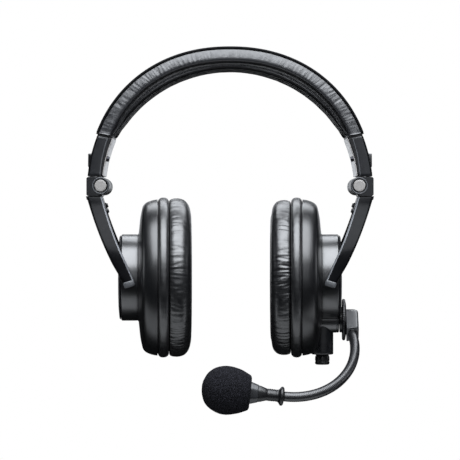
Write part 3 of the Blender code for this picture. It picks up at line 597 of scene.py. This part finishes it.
def headband_pad():
    rings = []
    limit = 67.0

    def crease(y, d, angle):
        arc = angle * 1.36
        under = 0.10 * ripple(arc / 5.0, y / 2.2, 3.0) + 0.06 * ripple(arc / 1.3, y / 3.5, 13.0)
        side = 0.07 * ripple(arc / 0.9, d / 2.0, 23.0) if abs(y) > 15 else 0.0
        return under + side

    for angle in band_angles(360, limit):
        full = end_taper(angle, limit, 1.1)
        floor = underside_depth(angle) - 2.6 * (1 - end_taper(angle, limit, 9.0))
        section = spaced_fixed(pad_section(floor), 3)
        ring = swollen(section, lambda y, d: crease(y, d, angle) * full - 1.0 * (1 - full))
        rings.append(band_ring(angle, ring))
    made = loft("headband_pad_cushion", rings, BAND_PAD)
    piece(made, "headband", "pad_leather", "headband_pad")


def spaced_fixed(points, steps):
    """An outline with each of its spans cut into the same number of steps, along a smooth curve."""
    result, count = [], len(points)
    for i in range(count):
        corners = [Vector(points[(i + j) % count]) for j in (-1, 0, 1, 2)]
        result += [spline(*corners, k / steps) for k in range(steps)]
    return result


def stitch_row(name, places):
    """A row of thread stitches: each place gives its middle, its direction and which way is out."""
    half_length, radius, sides = 0.85, 0.19, 6
    profile = ((-1, 0.25), (-0.8, 0.8), (0, 1), (0.8, 0.8), (1, 0.25))
    points, faces = [], []
    for middle, along, out in places:
        across = along.cross(out).normalized()
        base = len(points)
        for step, width in profile:
            for k in range(sides):
                turn = 2 * pi * k / sides
                spoke = across * cos(turn) + out * sin(turn)
                points.append(middle + along * step * half_length + spoke * radius * width)
        for ring in range(len(profile) - 1):
            for k in range(sides):
                a, b = base + ring * sides + k, base + ring * sides + (k + 1) % sides
                faces.append((a, b, b + sides, a + sides))
        faces.append(tuple(range(base, base + sides)))
        faces.append(tuple(range(len(points) - sides, len(points))))
    piece(build(name, points, faces, THREAD, weld=False), "headband", "pad_leather")


def headband_stitching():
    for front, label in ENDS:
        places = []
        for i in range(-42, 43):
            angle = i * 1.52
            start, inward = band_ray(angle)
            middle = start + inward * (seam_depth(underside_depth(angle)) + 0.3)
            along = Vector((-inward.y, 0, inward.x))
            places.append((Vector((middle.x, front * 16.15, middle.y)), along, Vector((0, front, 0))))
        stitch_row(f"headband_stitches_{label}", places)


# ---- end housings


def housing_rings(side, near, far, half_width, radius, share_range=(0, 1), steps=14):
    """Rings down an end housing between two depths, each a pair for its top and its foot."""
    rings = []
    for i in range(steps + 1):
        share = share_range[0] + (share_range[1] - share_range[0]) * i / steps
        angle = HOUSING_DEG[0] + (HOUSING_DEG[1] - HOUSING_DEG[0]) * share
        lean = radians(80 + 10 * share)
        start = outline_point(angle, 0.8 * (1 - share))
        inward = Vector((-sin(lean), -cos(lean)))
        shallow, deep = (pair[0] + (pair[1] - pair[0]) * share for pair in (near, far))
        w = half_width
        outline = rounded([
            (-w, deep, 0.5), (-w, shallow, radius), (0, shallow - 0.25, 6), (w, shallow, radius), (w, deep, 0.5),
        ], steps=5)
        rings.append([(side * (start.x + inward.x * d), y, start.y + inward.y * d) for y, d in outline])
    return rings


def paint_rim_shade(made, side):
    """The turned edge on a piece's outer side, in a deeper black than its faces: painted shade for the dark band
    along that edge.
    """
    made.data.materials.append(RIM_SHADE)
    for face in made.data.polygons:
        if side * face.normal.x > 0.3 and abs(face.normal.y) > 0.2:
            face.material_index = len(made.data.materials) - 1


def end_pieces(side, name):
    def part(label, look, edge, slot, nodes, *shape):
        made = loft(f"{name}_housing_{label}", housing_rings(side, *shape), look, edge=edge)
        if label == "body":
            # Painted shade on the housing's outward-turned rim.
            paint_rim_shade(made, side)
        piece(made, "headband", slot, *[f"{name}_{n}" for n in nodes])

    part("body", HOUSING, 0.45, "satin_plastic", ["end_housing"], (0.25, 0.25), (6.7, 7.5), 18, 1.7)
    part("ridge", TAB, 0.2, "satin_plastic", [], (6.3, 7.1), (7.1, 7.9), 18.05, 0.3, (0.02, 0.98))
    part("inlay", BLACK, 0.2, "black_plastic", [], (6.6, 7.3), (9.3, 9), 17.5, 0.3, (-0.02, 0.99))
    part("cover", GLOSS, 0.4, "gloss_plastic", ["end_cover"], (8.3, 8.6), (9.75, 9.45), 17.1, 0.4, (0, 0.99))
    part("collar", BLACK, 0.25, "satin_plastic", [], (0.3, 0.35), (9.3, 9), 17.7, 1.6, (-0.05, 0.012), 3)

    seat = slide_place(side) @ moved(0, -15.2, 11.5)
    profile = rounded([
        (-6.2, 0, 0), (-6.2, 0.9, 0.1), (-6.6, 1, 0.1), (-6.7, 1.5, 0.25), (-5.4, 1.6, 0.2), (-2.4, 0.95, 0),
        (-2.4, 0, 0),
    ])
    screw = lathe(
        f"{name}_cover_screw", profile, SCREW, seat, 36, sharp=40,
        shape=lambda x, r, a: (x, hexed(r, a) if r < 0.98 and x < -6.1 else r))
    piece(screw, "headband", "screw_steel", f"{name}_end_screw")
    corners = ((84.5, -50.2), (84.6, -58), (83, -59.4), (80.6, -59.4), (80.6, -49.9))
    outline = rounded([(side * x, z) for x, z in corners], 0.5, 3)
    badge = prism(f"{name}_badge_plate", outline, -9, 9, SATIN)
    piece(badge, "headband", "satin_plastic", f"{name}_end_badge")


def hexed(r, angle):
    """A radius drawn in to a hexagon's flats."""
    part = (angle % (pi / 3)) - pi / 6
    return r * cos(pi / 6) / cos(part)


# ---- fold hinge


def hinge_pieces(side, name):
    slider, knuckle = f"{name}_slider", f"{name}_knuckle"
    for part, body, slot, *easing in (
        ("slider_blade", slider, "spring_steel", SPRING, 0.2, 2),
        ("hinge_block", slider, "satin_plastic", SATIN, 0.55, 4, 40),
        ("hinge_knuckle", knuckle, "black_plastic", SATIN, 0.3, 3, 40),
    ):
        piece(moulding(f"{name}_{part}", *easing), body, slot, f"{name}_{part}")
    cap = rounded([(17, 0, 0), (17, 3.45, 0.1), (18.35, 3.55, 0.35), (18.5, 2.6, 0.5), (18.42, 0, 0)], steps=5)
    ring = rounded([
        (17.6, 4.3, 0.1), (18.25, 4.35, 0.15), (18.35, 4.65, 0.2), (18.25, 4.95, 0.2), (17.6, 5, 0.1),
    ])
    for (end, label), node_name in zip(ENDS, ("hinge_pin", "hinge_pin_cap")):
        place = along_y(side, PIN_X, PIN_Z, end)
        piece(lathe(f"{name}_pin_head_{label}", cap, CAP, place, 72), slider, "hinge_cap", f"{name}_{node_name}")
        # The bezel ring is in the lighter tab colour: a painted highlight on its raised edge.
        piece(lathe(f"{name}_pin_bezel_{label}", ring, TAB, place, 72), slider, "satin_plastic")
    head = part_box(f"{name}_swivel_screw")[1].z / MM
    profile = rounded([
        (head - 5.2, 0, 0), (head - 5.2, 1.4, 0.1), (head - 6.3, 1.5, 0.1), (head - 6.4, 2.9, 0.5),
        (head - 5.2, 3.4, 0.3), (head - 5, 0.9, 0.1), (head, 0.9, 0.1), (head, 0, 0),
    ])
    screw = lathe(
        f"{name}_swivel_screw_head", profile, SCREW, along_z(side * SWIVEL_X), 48, sharp=40,
        shape=lambda x, r, a: (x, hexed(r, a) if r < 1.55 and x < head - 5.1 else r))
    piece(screw, knuckle, "screw_steel", f"{name}_swivel_screw")


# ---- yokes

YOKE_X, YOKE_LEAN, YOKE_CURVE = 80.9, 0.275, 0.0027
ARM_TIP, YOKE_BAR = 51.6, 8.0


def yoke_centre(drop):
    return YOKE_X - YOKE_LEAN * drop - YOKE_CURVE * drop * drop


def yoke_half(drop):
    upper = 4.6 - 0.4 * min(1.0, drop / 40)
    return upper - 0.9 * max(0.0, drop - 40) / (ARM_TIP - 40)


def arm_y(drop):
    t = min(1.0, max(0.0, drop / 36))
    return 14.8 + 15.2 * t * t * (3 - 2 * t)


def yoke_stations():
    """(outer y, outer drop, inner y, inner drop) from the front arm's tip, over the bar, to the rear's."""
    arm = []
    drop = ARM_TIP
    while drop > 12.9:
        shrink = 1.3 * max(0.0, 1 - (ARM_TIP - drop) / 1.6) ** 2
        arm.append((arm_y(drop) + 3.0 - shrink, drop, arm_y(drop) - 3.0 + shrink, drop))
        drop -= 0.5 if ARM_TIP - drop < 2 else 1.6
    arm += [
        (arm_y(9) + 3.15, 9.6, 12.9, 11.6), (arm_y(6) + 3.2, 6.5, 12.1, 9.9), (17.95, 3.4, 10.9, 8.9),
        (17.9, 1.2, 9.5, 8.35), (17.3, -0.1, 8, 8.05), (15.8, -0.2, 7, 8),
    ]
    front = [(-a, b, -c, d) for a, b, c, d in arm]
    bar = [(y, -0.2, y * 0.44, YOKE_BAR) for y in (-12, -8, -4, 0, 4, 8, 12)]
    return front + bar + [(a, b, c, d) for a, b, c, d in reversed(arm)]


def yoke(side, name):
    def at(edge, y, drop):
        return Vector((side * (yoke_centre(drop) + edge * yoke_half(drop)), y, YOKE_TOP_Z - drop))

    rings = []
    for station in yoke_stations():
        outer, inner = station[:2], station[2:]
        corners = [at(-1, *outer), at(-1, *inner), at(1, *inner), at(1, *outer)]
        ring = []
        for i, here in enumerate(corners):
            size = 1.7 if i in (0, 3) else 0.6
            ring += corner(here, corners[i - 1] - here, corners[(i + 1) % 4] - here, size, 0.4, 4)
        rings.append(ring)
    made = loft(f"{name}_yoke_arms", rings, YOKE, sharp=50)
    # Painted highlight: the inner chamfer gets a light colour that stands in for the light along that edge.
    made.data.materials.append(YOKE_EDGE_HIGHLIGHT)
    around = len(rings[0])
    for index, face in enumerate(made.data.polygons):
        if index < around * (len(rings) - 1) and index % around in (1, 2):
            face.material_index = 1
    # Painted shade on the yoke's outward-turned rim.
    paint_rim_shade(made, side)
    return made


def yoke_pieces(side, name):
    body = f"{name}_yoke"
    place = toed(side)
    made = yoke(side, name)
    made.data.transform(Matrix.Diagonal((MM, MM, MM, 1)) @ place @ Matrix.Diagonal((1 / MM, 1 / MM, 1 / MM, 1)))
    piece(made, body, "satin_plastic", f"{name}_yoke")
    tilt_x = abs((toed(side).inverted() @ joint_place(f"{name}_tilt")).x)
    # A dark washer fills the wedge that the toe leaves under the hinge block.
    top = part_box(f"{name}_hinge_block")[0].z / MM - 0.08
    foot = top - 2.2
    corners = ((77, top), (85.3, top), (84.7, foot), (77, foot))
    seal = prism(f"{name}_yoke_seal", [(side * x, z) for x, z in corners], -16.8, 16.8, BLACK, edge=0.1)
    piece(seal, body, "satin_plastic")
    for front, label in ENDS:
        # The foot of each arm, over the trunnion, in a lighter colour: painted highlight for the light its tip
        # catches.
        centre = place @ moved(side * (tilt_x - 0.9), front * 32, CUP_Z - 3.2) @ spun(side * 17, "Y")
        outline = rounded([(-3.5, -1.9), (3.3, -1.7), (3.3, 1.9), (-3.5, 1.9)], 1.5, 5)
        piece(prism(f"{name}_yoke_foot_{label}", outline, -1.3, 1.3, FOOT_HIGHLIGHT, centre, 0.6), body, "satin_plastic")
        post = rounded([(22.6, 0, 0), (22.6, 2.9, 0.4), (29.5, 2.9, 0.1), (29.5, 0, 0)])
        axis = place @ moved(side * tilt_x, 0, CUP_Z) @ spun(front * 90, "Z")
        piece(lathe(f"{name}_trunnion_{label}", post, BLACK, axis, 40), body, "satin_plastic")
    nub = rounded([
        (-1.6, 0, 0), (-1.6, 1.2, 0.3), (-0.9, 1.3, 0.15), (-0.7, 1.8, 0.15), (0.3, 1.9, 0.1), (0.3, 0, 0),
    ])
    for index, (y, drop) in enumerate(((7, 5.2), (-13.2, 8.6))):
        face = yoke_centre(drop) - yoke_half(drop)
        lean = Matrix.Rotation(atan(YOKE_LEAN + 2 * YOKE_CURVE * drop), 4, "Y")
        seat = place @ mirror(side) @ moved(face, y, YOKE_TOP_Z - drop) @ lean
        made = lathe(f"{name}_grommet_{index}", nub, BLACK, seat, 32)
        piece(made, body, "black_rubber", *([f"{name}_cable_grommet"] if index == 0 else []))


# ---- ear cups

PAD_FACE = {-1: 23.5, 1: 24.5}
PAD_RADIUS = {-1: 47.3, 1: 46.0}
# The pad's outer curve: distance from the mid-plane, and how far outside the pad's radius.
PAD_CROWN = {
    -1: (
        (36.45, -1.8), (35.6, -0.7), (33.2, 0.1), (29.9, 0), (27, -1.3), (24.8, -4.1), (23.7, -8),
        (23.4, -11.3),
    ),
    1: (
        (36.45, -1.5), (35.65, -0.35), (33.4, 0.3), (30.6, 0.25), (27.9, -0.8), (25.8, -3.5), (24.9, -8),
        (24.45, -10.5),
    ),
}


def cup_pieces(side, name):
    body = f"{name}_cup"
    place = cup_place(side)

    def ring(label, profile, look, segments, slot, *nodes):
        made = lathe(f"{name}_{label}", profile, look, place, segments)
        piece(made, body, slot, *[f"{name}_{n}" for n in nodes])

    shell = rounded([
        (43.5, 44.6, 0.2), (43.5, 46.9, 0.35), (47, 46.35, 2.5), (50.4, 44.95, 1.4), (52.3, 43, 1.4),
        (53.8, 36.4, 4), (54.5, 29, 2), (54.8, 26.6, 0.3), (54.8, 20, 0.2), (53, 20, 0.2), (52.4, 28, 1),
        (50.2, 41.4, 1),
    ], steps=5)
    ring("shell_dome", shell, SHELL_SATIN, 176, "satin_plastic", "cup_shell")
    rim = rounded([(42.6, 43.8, 0.1), (42.6, 45.7, 0.2), (44.2, 45.7, 0.2), (44.2, 43.8, 0.1)], steps=3)
    ring("rim_gasket", rim, BLACK, 128, "black_rubber")
    gasket = rounded([(54.3, 26.3, 0.1), (55, 26.35, 0.15), (55.5, 25.2, 0.1), (54.4, 25, 0.1)], steps=3)
    ring("drum_gasket", gasket, BLACK, 128, "black_plastic")
    drum = rounded([
        (55, 20, 0), (55, 25.8, 0.3), (56.8, 25.9, 0.3), (64.7, 25.9, 0.5), (65.2, 25.2, 0.2),
        (65.2, 23.9, 0.2), (56.8, 23.9, 0.2), (56.8, 20, 0),
    ])
    ring("drum", drum, DRUM, 160, "satin_plastic", "rear_housing")
    cap = rounded([
        (64.2, 0, 0), (64.2, 23.2, 0.1), (65.3, 23.4, 0.1), (65.5, 25.3, 0.3), (66.2, 24.7, 0.5),
        (66.6, 20.5, 0.3), (66.35, 20.1, 0.15), (66.7, 19.7, 0.2), (66.9, 14, 1.5), (67.2, 0, 0),
    ])
    lid = lathe(f"{name}_drum_lid", cap, LID_PAINTED_LIGHT, place, 144)
    if side > 0:
        # The lid leaves room for the boom's barrel and the hub that turns in it.
        room = [(60, 0), (60, 8.2), (72, 8.2), (72, 0)]
        cut(lid, lathe("hub_room", room, BLACK, BOOM_AXIS, 64))
    piece(lid, body, "satin_plastic", f"{name}_rear_cap")

    def skirt_shape(x, r, angle):
        ends = 1.0 if r > 46 else 0.3
        seam = 0.5 + 0.5 * ripple(cos(angle) * 2, sin(angle) * 2, side * 5.0)
        wrinkle = ripple(cos(angle) * 30, sin(angle) * 30, x * 0.25 + side * 9)
        fine = ripple(cos(angle) * 75, sin(angle) * 75, x * 0.5 + side * 13)
        return x, r + ends * (0.10 * wrinkle * seam + 0.035 * fine)

    skirt = spaced(rounded([
        (43.1, 44, 0), (43.15, 46.4, 0.5), (42, 47.75, 1.2), (39.8, 48.1, 1.4), (37.7, 47.5, 1),
        (36.7, 46, 0.6), (36.6, 44, 0),
    ], steps=5), 0.8)
    roll = lathe(f"{name}_skirt_roll", skirt, PAD_LEATHER, place, 300, skirt_shape)
    piece(roll, body, "pad_leather", f"{name}_pad_skirt")
    ear_pad(side, name, body, place)
    grille = rounded([(37.7, 0, 0), (37.7, 25.9, 0.1), (36.9, 26, 0.3), (36.3, 22, 4), (36, 0, 0)])
    ring("grille_cloth", spaced(grille, 2.5), CLOTH, 96, "grille_cloth", "driver_grille")


def ear_pad(side, name, body, place):
    """A stuffed leather ring, gathered at its seam with the skirt."""
    face, r = PAD_FACE[side], PAD_RADIUS[side]
    profile = spaced_fixed([(x, r + out) for x, out in PAD_CROWN[side]] + [
        (face + 0.5, 31.8), (face + 3.2, 28.9), (face + 7, 27.9), (33.5, 28.4), (36.3, 29.6), (36.5, 33),
        (36.5, r - 4),
    ], 6)

    def gathers(x, radius, angle):
        outer = min(1.0, max(0.0, (radius - (r - 7.0)) / 5.0))
        inner = min(1.0, max(0.0, (31.5 - radius) / 3.0))
        seam = min(1.0, max(0.0, (x - face) / (36.0 - face)))
        c, s = cos(angle), sin(angle)
        # The leather is slackest around the middle of its height, and more so on the right-hand pad.
        waist = exp(-(((s - 0.12) / 0.26) ** 2))
        slack = 0.52 + (1.15 if side > 0 else 0.40) * waist + 0.35 * max(0.0, -s)
        slack += 0.25 * ripple(c * 3, s * 3, side * 4.0)
        bend = 0.9 * ripple(c * 5, s * 5, x * 0.09)
        pleat = ripple(c * 27 + bend, s * 27 + bend, x * 0.050 + side * 3)
        fine = ripple(c * 55 + bend, s * 55, x * 0.09 + side * 7)
        ridge = 1 - 2.4 * abs(pleat)
        wave = 0.16 * ripple(c * 6, s * 6, side * 21.0)
        tuck = ripple(c * 38 + bend, s * 38 + bend, x * 0.06 + side * 17)
        out = outer * slack * (0.42 * ridge * (0.30 + 0.70 * seam) + 0.12 * fine) + inner * 0.22 * fine
        out += outer * 0.34 * seam**2 * tuck
        return x + (0.25 * wave if outer < 0.5 else 0.0), radius + out - 0.15 * outer * slack

    made = lathe(f"{name}_ear_cushion", profile, PAD_LEATHER, place, 480, gathers)
    piece(made, body, "pad_leather", f"{name}_ear_pad")


# ---- boom mount and socket


def boom_mount():
    def turned(name, profile, look, place, segments, slot, *replaced, shape=None, sharp=None):
        piece(lathe(name, profile, look, place, segments, shape, sharp), "right_cup", slot, *replaced)

    barrel = rounded([
        (50.5, 0, 0), (50.5, 7.8, 0.1), (63.9, 7.8, 0.1), (64.1, 7.5, 0.1), (64.4, 7.8, 0.1), (65, 7.8, 0.4),
        (65.4, 7.1, 0.2), (65.4, 3.2, 0.2), (62, 3.2, 0), (62, 0, 0),
    ])
    turned("boom_barrel", barrel, DRUM, BOOM_AXIS, 80, "satin_plastic", "boom_housing", sharp=50)
    low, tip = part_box("boom_housing")[0].z / MM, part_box("cable_socket")[0].z / MM
    socket_x = 55.4
    upright = toed(1) @ along_z(socket_x)
    tower = rounded([
        (BOOM_Z, 0, 0), (BOOM_Z, 6.9, 0), (low + 1, 6.9, 0.5), (low, 6.3, 0.4), (low, 3.7, 0.2),
        (low + 3.6, 3.6, 0), (low + 3.6, 0, 0),
    ])
    # Two flats run down the tower, front and back.
    flat = lambda x, r, a: (x, min(r, 6.55 / max(0.001, abs(sin(a)))) if r > 6 else r)
    turned("socket_tower", tower, SATIN, upright, 96, "satin_plastic", shape=flat, sharp=50)

    def lugs(x, r, a):
        if r < 3.7 or not tip + 0.6 < x < low - 1.2:
            return x, r
        return x, r + (0.16 if cos(8 * a) > 0.35 else -0.10)

    collar = spaced(rounded([
        (low + 2, 2.7, 0), (low + 2, 3.3, 0.1), (low - 0.3, 3.3, 0.1), (low - 0.35, 3.9, 0.15),
        (low - 1.6, 4.15, 0.2), (tip + 2.4, 4.2, 0.1), (tip + 2.2, 3.95, 0.1), (tip + 1.8, 3.95, 0.1),
        (tip + 1.6, 4.2, 0.1), (tip + 0.4, 4.25, 0.2), (tip, 3.8, 0.2), (tip, 3.25, 0.15),
        (low - 1.3, 3.25, 0.1), (low - 1.3, 2.7, 0),
    ], steps=3), 0.5)
    turned("socket_collar", collar, BLACK, upright, 128, "black_plastic", "cable_socket", shape=lugs, sharp=40)
    insert = moulding("socket_insert", BLACK, 0.12, 2, name="socket_insulator")
    piece(insert, "right_cup", "black_plastic", "socket_insert")
    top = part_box("socket_insert")[1].z / MM
    pin = rounded([(top - 1, 0, 0), (top - 1, 0.32, 0), (top - 6, 0.32, 0.1), (top - 6.3, 0, 0)], steps=3)
    for i in range(4):
        angle = radians(45 + 90 * i)
        place = toed(1) @ along_z(socket_x + 1.3 * cos(angle), 1.3 * sin(angle))
        turned(f"socket_contact_{i}", pin, SPRING, place, 16, "spring_steel")


def boom_parts():
    hub = rounded([
        (58.2, 0, 0), (58.2, 2.8, 0.3), (65.6, 2.8, 0.1), (65.7, 7.6, 0.2), (67.5, 7.7, 0.2), (67.8, 7.2, 0.1),
        (67.9, 0, 0),
    ])
    piece(lathe("boom_pivot", hub, BLACK, BOOM, 72, sharp=50), "boom", "black_plastic", "boom_hub")
    disc = spaced(rounded([
        (67.2, 0, 0), (67.2, 11.7, 0.3), (67.7, 12.4, 0.3), (69, 12.2, 0.5), (69.6, 9.2, 0.6), (69.7, 0, 0),
    ]), 1.5)
    grip = lambda x, r, a: (x, r + (0.10 * cos(60 * a) if r > 11.9 else 0))
    piece(lathe("boom_dial", disc, BLACK, BOOM, 240, grip), "boom", "black_plastic", "boom_disc")

    near, far, top, foot = 69.6, 76.9, -6.4, 15.2
    rings = []
    for i in range(17):
        share = i / 16
        drop = top + (foot - top) * share
        bend = max(0.0, 1 - (drop - top) / 3.6)
        reach = far - 2.6 * bend**2
        half = 4.7 - 1.3 * bend**2
        outline = rounded([(near, -half, 0.3), (reach, -half, 1.7), (reach, half, 1.7), (near, half, 0.3)], steps=5)
        ring = []
        for x, y in outline:
            slant = 1.6 * share**3 * (far - x) / (far - near)
            ring.append((x, y, -(drop + slant)))
        rings.append(ring)
    holder = loft("gooseneck_holder", rings, HOLDER, BOOM, edge=0.5, sharp=50)
    piece(holder, "boom", "satin_plastic", "boom_holder")
    collar = rounded([(-16.6, 0, 0), (-16.6, 3.35, 0.2), (-14, 3.7, 0.2), (-14, 0, 0)], steps=3)
    root = BOOM @ moved(GOOSENECK[0][0] + 0.15, 0, 0) @ spun(-90, "Y")
    piece(lathe("gooseneck_ferrule", collar, BLACK, root, 56, sharp=50), "boom", "black_plastic")


def gooseneck():
    """One ribbed tube over both halves of the gooseneck, along one smooth curve."""
    radius, pitch, steps_per_rib, sides = 2.85, 1.05, 5, 28
    # The tube starts a little way up inside the holder.
    fine, low = 600, -0.035
    points = [BOOM @ gooseneck_point(low + (1.0 - low) * i / fine) for i in range(fine + 1)]
    lengths = [0.0]
    for a, b in zip(points, points[1:]):
        lengths.append(lengths[-1] + (b - a).length)
    total = lengths[-1]
    count = int(total / (pitch / steps_per_rib))
    turns = [2 * pi * k / sides for k in range(sides)]
    rings, normal, place = [], None, 0
    for i in range(count + 1):
        s = total * i / count
        while place < fine - 1 and lengths[place + 1] < s:
            place += 1
        t = (s - lengths[place]) / (lengths[place + 1] - lengths[place])
        here = points[place].lerp(points[place + 1], t)
        tangent = (points[min(place + 2, fine)] - points[max(place - 1, 0)]).normalized()
        if normal is None:
            normal = tangent.orthogonal().normalized()
        normal = (normal - tangent * normal.dot(tangent)).normalized()
        other = tangent.cross(normal)
        rib = 0.5 + 0.5 * cos(2 * pi * s / pitch)
        depth = 0.04 + 0.07 * (s / total) ** 1.5
        r = radius - depth * rib**2
        rings.append([here + (normal * cos(turn) + other * sin(turn)) * r for turn in turns])
    made = loft("gooseneck_tube", rings, RUBBER)
    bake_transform(made)
    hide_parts("gooseneck_lower", "gooseneck_upper")


# ---- microphone


def mic_section(tall, deep, front):
    """Half of the capsule housing's cross-section, split at y = 0."""
    corners = [(-tall, 0.08, 0), (-tall, 0.5 * deep, 0.9), (-0.5 * tall, deep, 1.2), (0.5 * tall, deep, 1.2),
               (tall, 0.5 * deep, 0.9), (tall, 0.08, 0)]
    return [(front * y, z) for z, y in rounded(corners, 0.6, 4)]


def microphone():
    flange = spaced(rounded([
        (0.1, 0, 0), (0.1, 3.3, 0.2), (0.35, 4.6, 0.3), (0.9, 5.4, 0.5), (2.1, 5.4, 0.5), (2.7, 4.4, 0.6),
        (3.4, 3.5, 0.8), (4.6, 3.35, 0.4), (9.6, 3.5, 0.2), (10.4, 2.9, 0.2), (10.4, 0, 0),
    ], steps=5), 0.5)

    def ridges(x, r, angle):
        ribbed = 4.4 < x < 9.4 and r > 2
        return x, r + (0.16 * cos(2 * pi * (x - 4.4) / 1.3) if ribbed else 0)

    piece(lathe("mic_flange", flange, BLACK, MIC, 72, ridges), "microphone", "black_plastic", "mic_collar")
    neck = [(9.8, 3.3, 3.2), (11.5, 3.8, 3.5), (13.3, 4.4, 3.95), (15.3, 4.75, 4.2)]
    case = [
        (14.9, 4.95, 4.4), (15.6, 5.1, 4.5), (18, 5.85, 4.95), (19.8, 6.35, 5.25), (22.5, 6.3, 5.2),
        (26.2, 6.05, 5.1),
    ]
    for front, label in ENDS:
        for part, stations, look in (("neck", neck, BLACK), ("case", case, HOLDER)):
            rings = [[(s, y, z) for y, z in mic_section(tall, deep, front)] for s, tall, deep in stations]
            made = loft(f"mic_{part}_{label}", rings, look, MIC, edge=0.25, sharp=45)
            piece(made, "microphone", "black_plastic", *([f"mic_housing_{label}"] if part == "case" else []))
    capsule = rounded([
        (20, 0, 0), (20, 4.4, 0.2), (26.8, 4.5, 0.3), (27.1, 3.9, 0.2), (26.9, 3.7, 0.1), (27.3, 2, 0.5),
        (27.35, 0, 0),
    ])

    def holes(x, r, angle):
        sunk = x > 26.95 and r < 3.5 and cos(6 * angle) * cos(3.0 * r) > 0.3
        return x - (0.25 if sunk else 0), r

    element = lathe("mic_element", spaced(capsule, 0.5), SCREW, MIC, 60, holes)
    piece(element, "microphone", "black_plastic", "mic_capsule")
    windscreen()


def windscreen():
    profile = [
        (46.9, 0), (46.75, 2.4), (46.1, 4.9), (44.2, 8.6), (40.5, 11.8), (35.6, 13.55), (30.9, 13.65),
        (25.9, 12.6), (22.2, 11), (20, 9.9), (19.3, 8.6), (19.3, 7.3),
    ]
    last, smooth = len(profile) - 1, []
    for i in range(last):
        corners = [Vector(profile[min(max(j, 0), last)]) for j in (i - 1, i, i + 1, i + 2)]
        smooth += [spline(*corners, k / 9) for k in range(9)]
    smooth[0] = (46.9, 0)
    smooth += [(19.5, 7.2), (24, 7.1), (28.4, 7.1), (28.4, 0)]

    def cells(x, r, angle):
        if r < 0.6:
            return x, r
        y, z = r * cos(angle), r * sin(angle)
        fine = ripple(x * 2.1, y * 2.1, z * 2.1) + 0.6 * ripple(x * 4.3, y * 4.3, z * 4.3)
        broad = ripple(x * 0.16, y * 0.16, z * 0.16)
        out = 0.10 * fine + 0.18 * broad
        radial = Vector((x - 32.0, r)).normalized()
        return x + radial.x * out, max(0.0, r + radial.y * out)

    made = lathe("foam_windscreen", smooth, FOAM, MIC, 220, cells)
    piece(made, "windscreen", "foam", "windscreen")


# ---- kept CAD solids


def dress_kept():
    """The solids inside the cups and the band keep their shapes and get real finishes."""
    inside = {"baffle": BLACK, "driver_basket": BLACK, "driver_magnet": MAGNET, "driver_diaphragm": FILM}
    finishes = {f"{name}_{part}": look for _, name in SIDES for part, look in inside.items()}
    for name, look in {"headband_spring": SPRING, **finishes}.items():
        for slot in frame["nodes"][name].material_slots:
            slot.link = "OBJECT"
            slot.material = look


# ---- the studio


COOL = (0.915, 0.95, 1)
MIDDLE = (0, 0, -0.1)
# Each light's name, place, width and height in metres, and power in watts.
LIGHTS = (
    ("key", (0.06, -0.55, 0.82), (1.35, 1.3), 52),
    ("overhead", (0.06, 0.60, 0.78), (1.1, 0.7), 12),
    ("fill", (0.4, -1.8, 0.1), (1.4, 0.6), 2.9),
    ("low_card", (0, -0.12, -0.44), (1.2, 0.25), 1.25),
    ("rear_card", (0, 1.8, 0.1), (1.2, 0.6), 2.6),
    ("side_card", (-1.5, 0.1, 0.15), (0.5, 0.5), 2.0),
    ("side_card", (1.5, 0.1, 0.15), (0.5, 0.5), 2.0),
)
SENSOR_MM, VIEW_WIDTH, DISTANCE = 36.0, 0.276, 1.2


def area_light(name, place, size, power):
    data = bpy.data.lights.new(name, "AREA")
    data.shape, data.size, data.size_y = "RECTANGLE", *size
    data.energy, data.color = power, COOL
    lamp = bpy.data.objects.new(name, data)
    bpy.context.scene.collection.objects.link(lamp)
    lamp.location = place
    lamp.visible_camera = False
    lamp.rotation_euler = (Vector(MIDDLE) - Vector(place)).to_track_quat("-Z", "Y").to_euler()


def studio():
    scene = bpy.context.scene
    scene.view_settings.view_transform = "Standard"
    data = bpy.data.cameras.new("camera")
    camera = bpy.data.objects.new("camera", data)
    scene.collection.objects.link(camera)
    camera.location = (0, -DISTANCE, -0.0957)
    camera.rotation_euler = (radians(90), 0, 0)
    data.sensor_width = SENSOR_MM
    data.lens = SENSOR_MM * DISTANCE / VIEW_WIDTH
    scene.camera = camera

    scene.world = bpy.data.worlds.new("studio")
    scene.world.use_nodes = True
    tree = scene.world.node_tree
    tree.nodes.clear()
    seen = node(tree, "Background", Color=(1, 1, 1, 1), Strength=1.0)
    felt = node(tree, "Background", Color=(0.9, 0.95, 1, 1), Strength=0.01)
    rays = node(tree, "LightPath")
    mix = node(tree, "MixShader")
    out = node(tree, "OutputWorld")
    tree.links.new(rays.outputs["Is Camera Ray"], mix.inputs[0])
    tree.links.new(felt.outputs[0], mix.inputs[1])
    tree.links.new(seen.outputs[0], mix.inputs[2])
    tree.links.new(mix.outputs[0], out.inputs["Surface"])

    for light in LIGHTS:
        area_light(*light)

    paper = bpy.data.materials.new("pale_floor")
    paper.use_nodes = True
    sockets = paper.node_tree.nodes["Principled BSDF"].inputs
    sockets["Base Color"].default_value = (0.5, 0.5, 0.5, 1)
    sockets["Roughness"].default_value = 0.9
    sockets["Emission Color"].default_value = (1, 1, 1, 1)
    sockets["Emission Strength"].default_value = 0.94
    reach, level = 1750.0, -450.0
    corners = [(x * reach, y * reach, level) for x, y in ((-1, -1), (1, -1), (1, 1), (-1, 1))]
    floor = build("floor", corners, [(0, 1, 2, 3)], paper)
    floor.visible_glossy = False
    floor.visible_diffuse = False


headband_cover()
headband_piping()
headband_pad()
headband_stitching()
for side, name in SIDES:
    end_pieces(side, name)
    hinge_pieces(side, name)
    yoke_pieces(side, name)
    cup_pieces(side, name)
boom_mount()
boom_parts()
gooseneck()
microphone()
dress_kept()
studio()
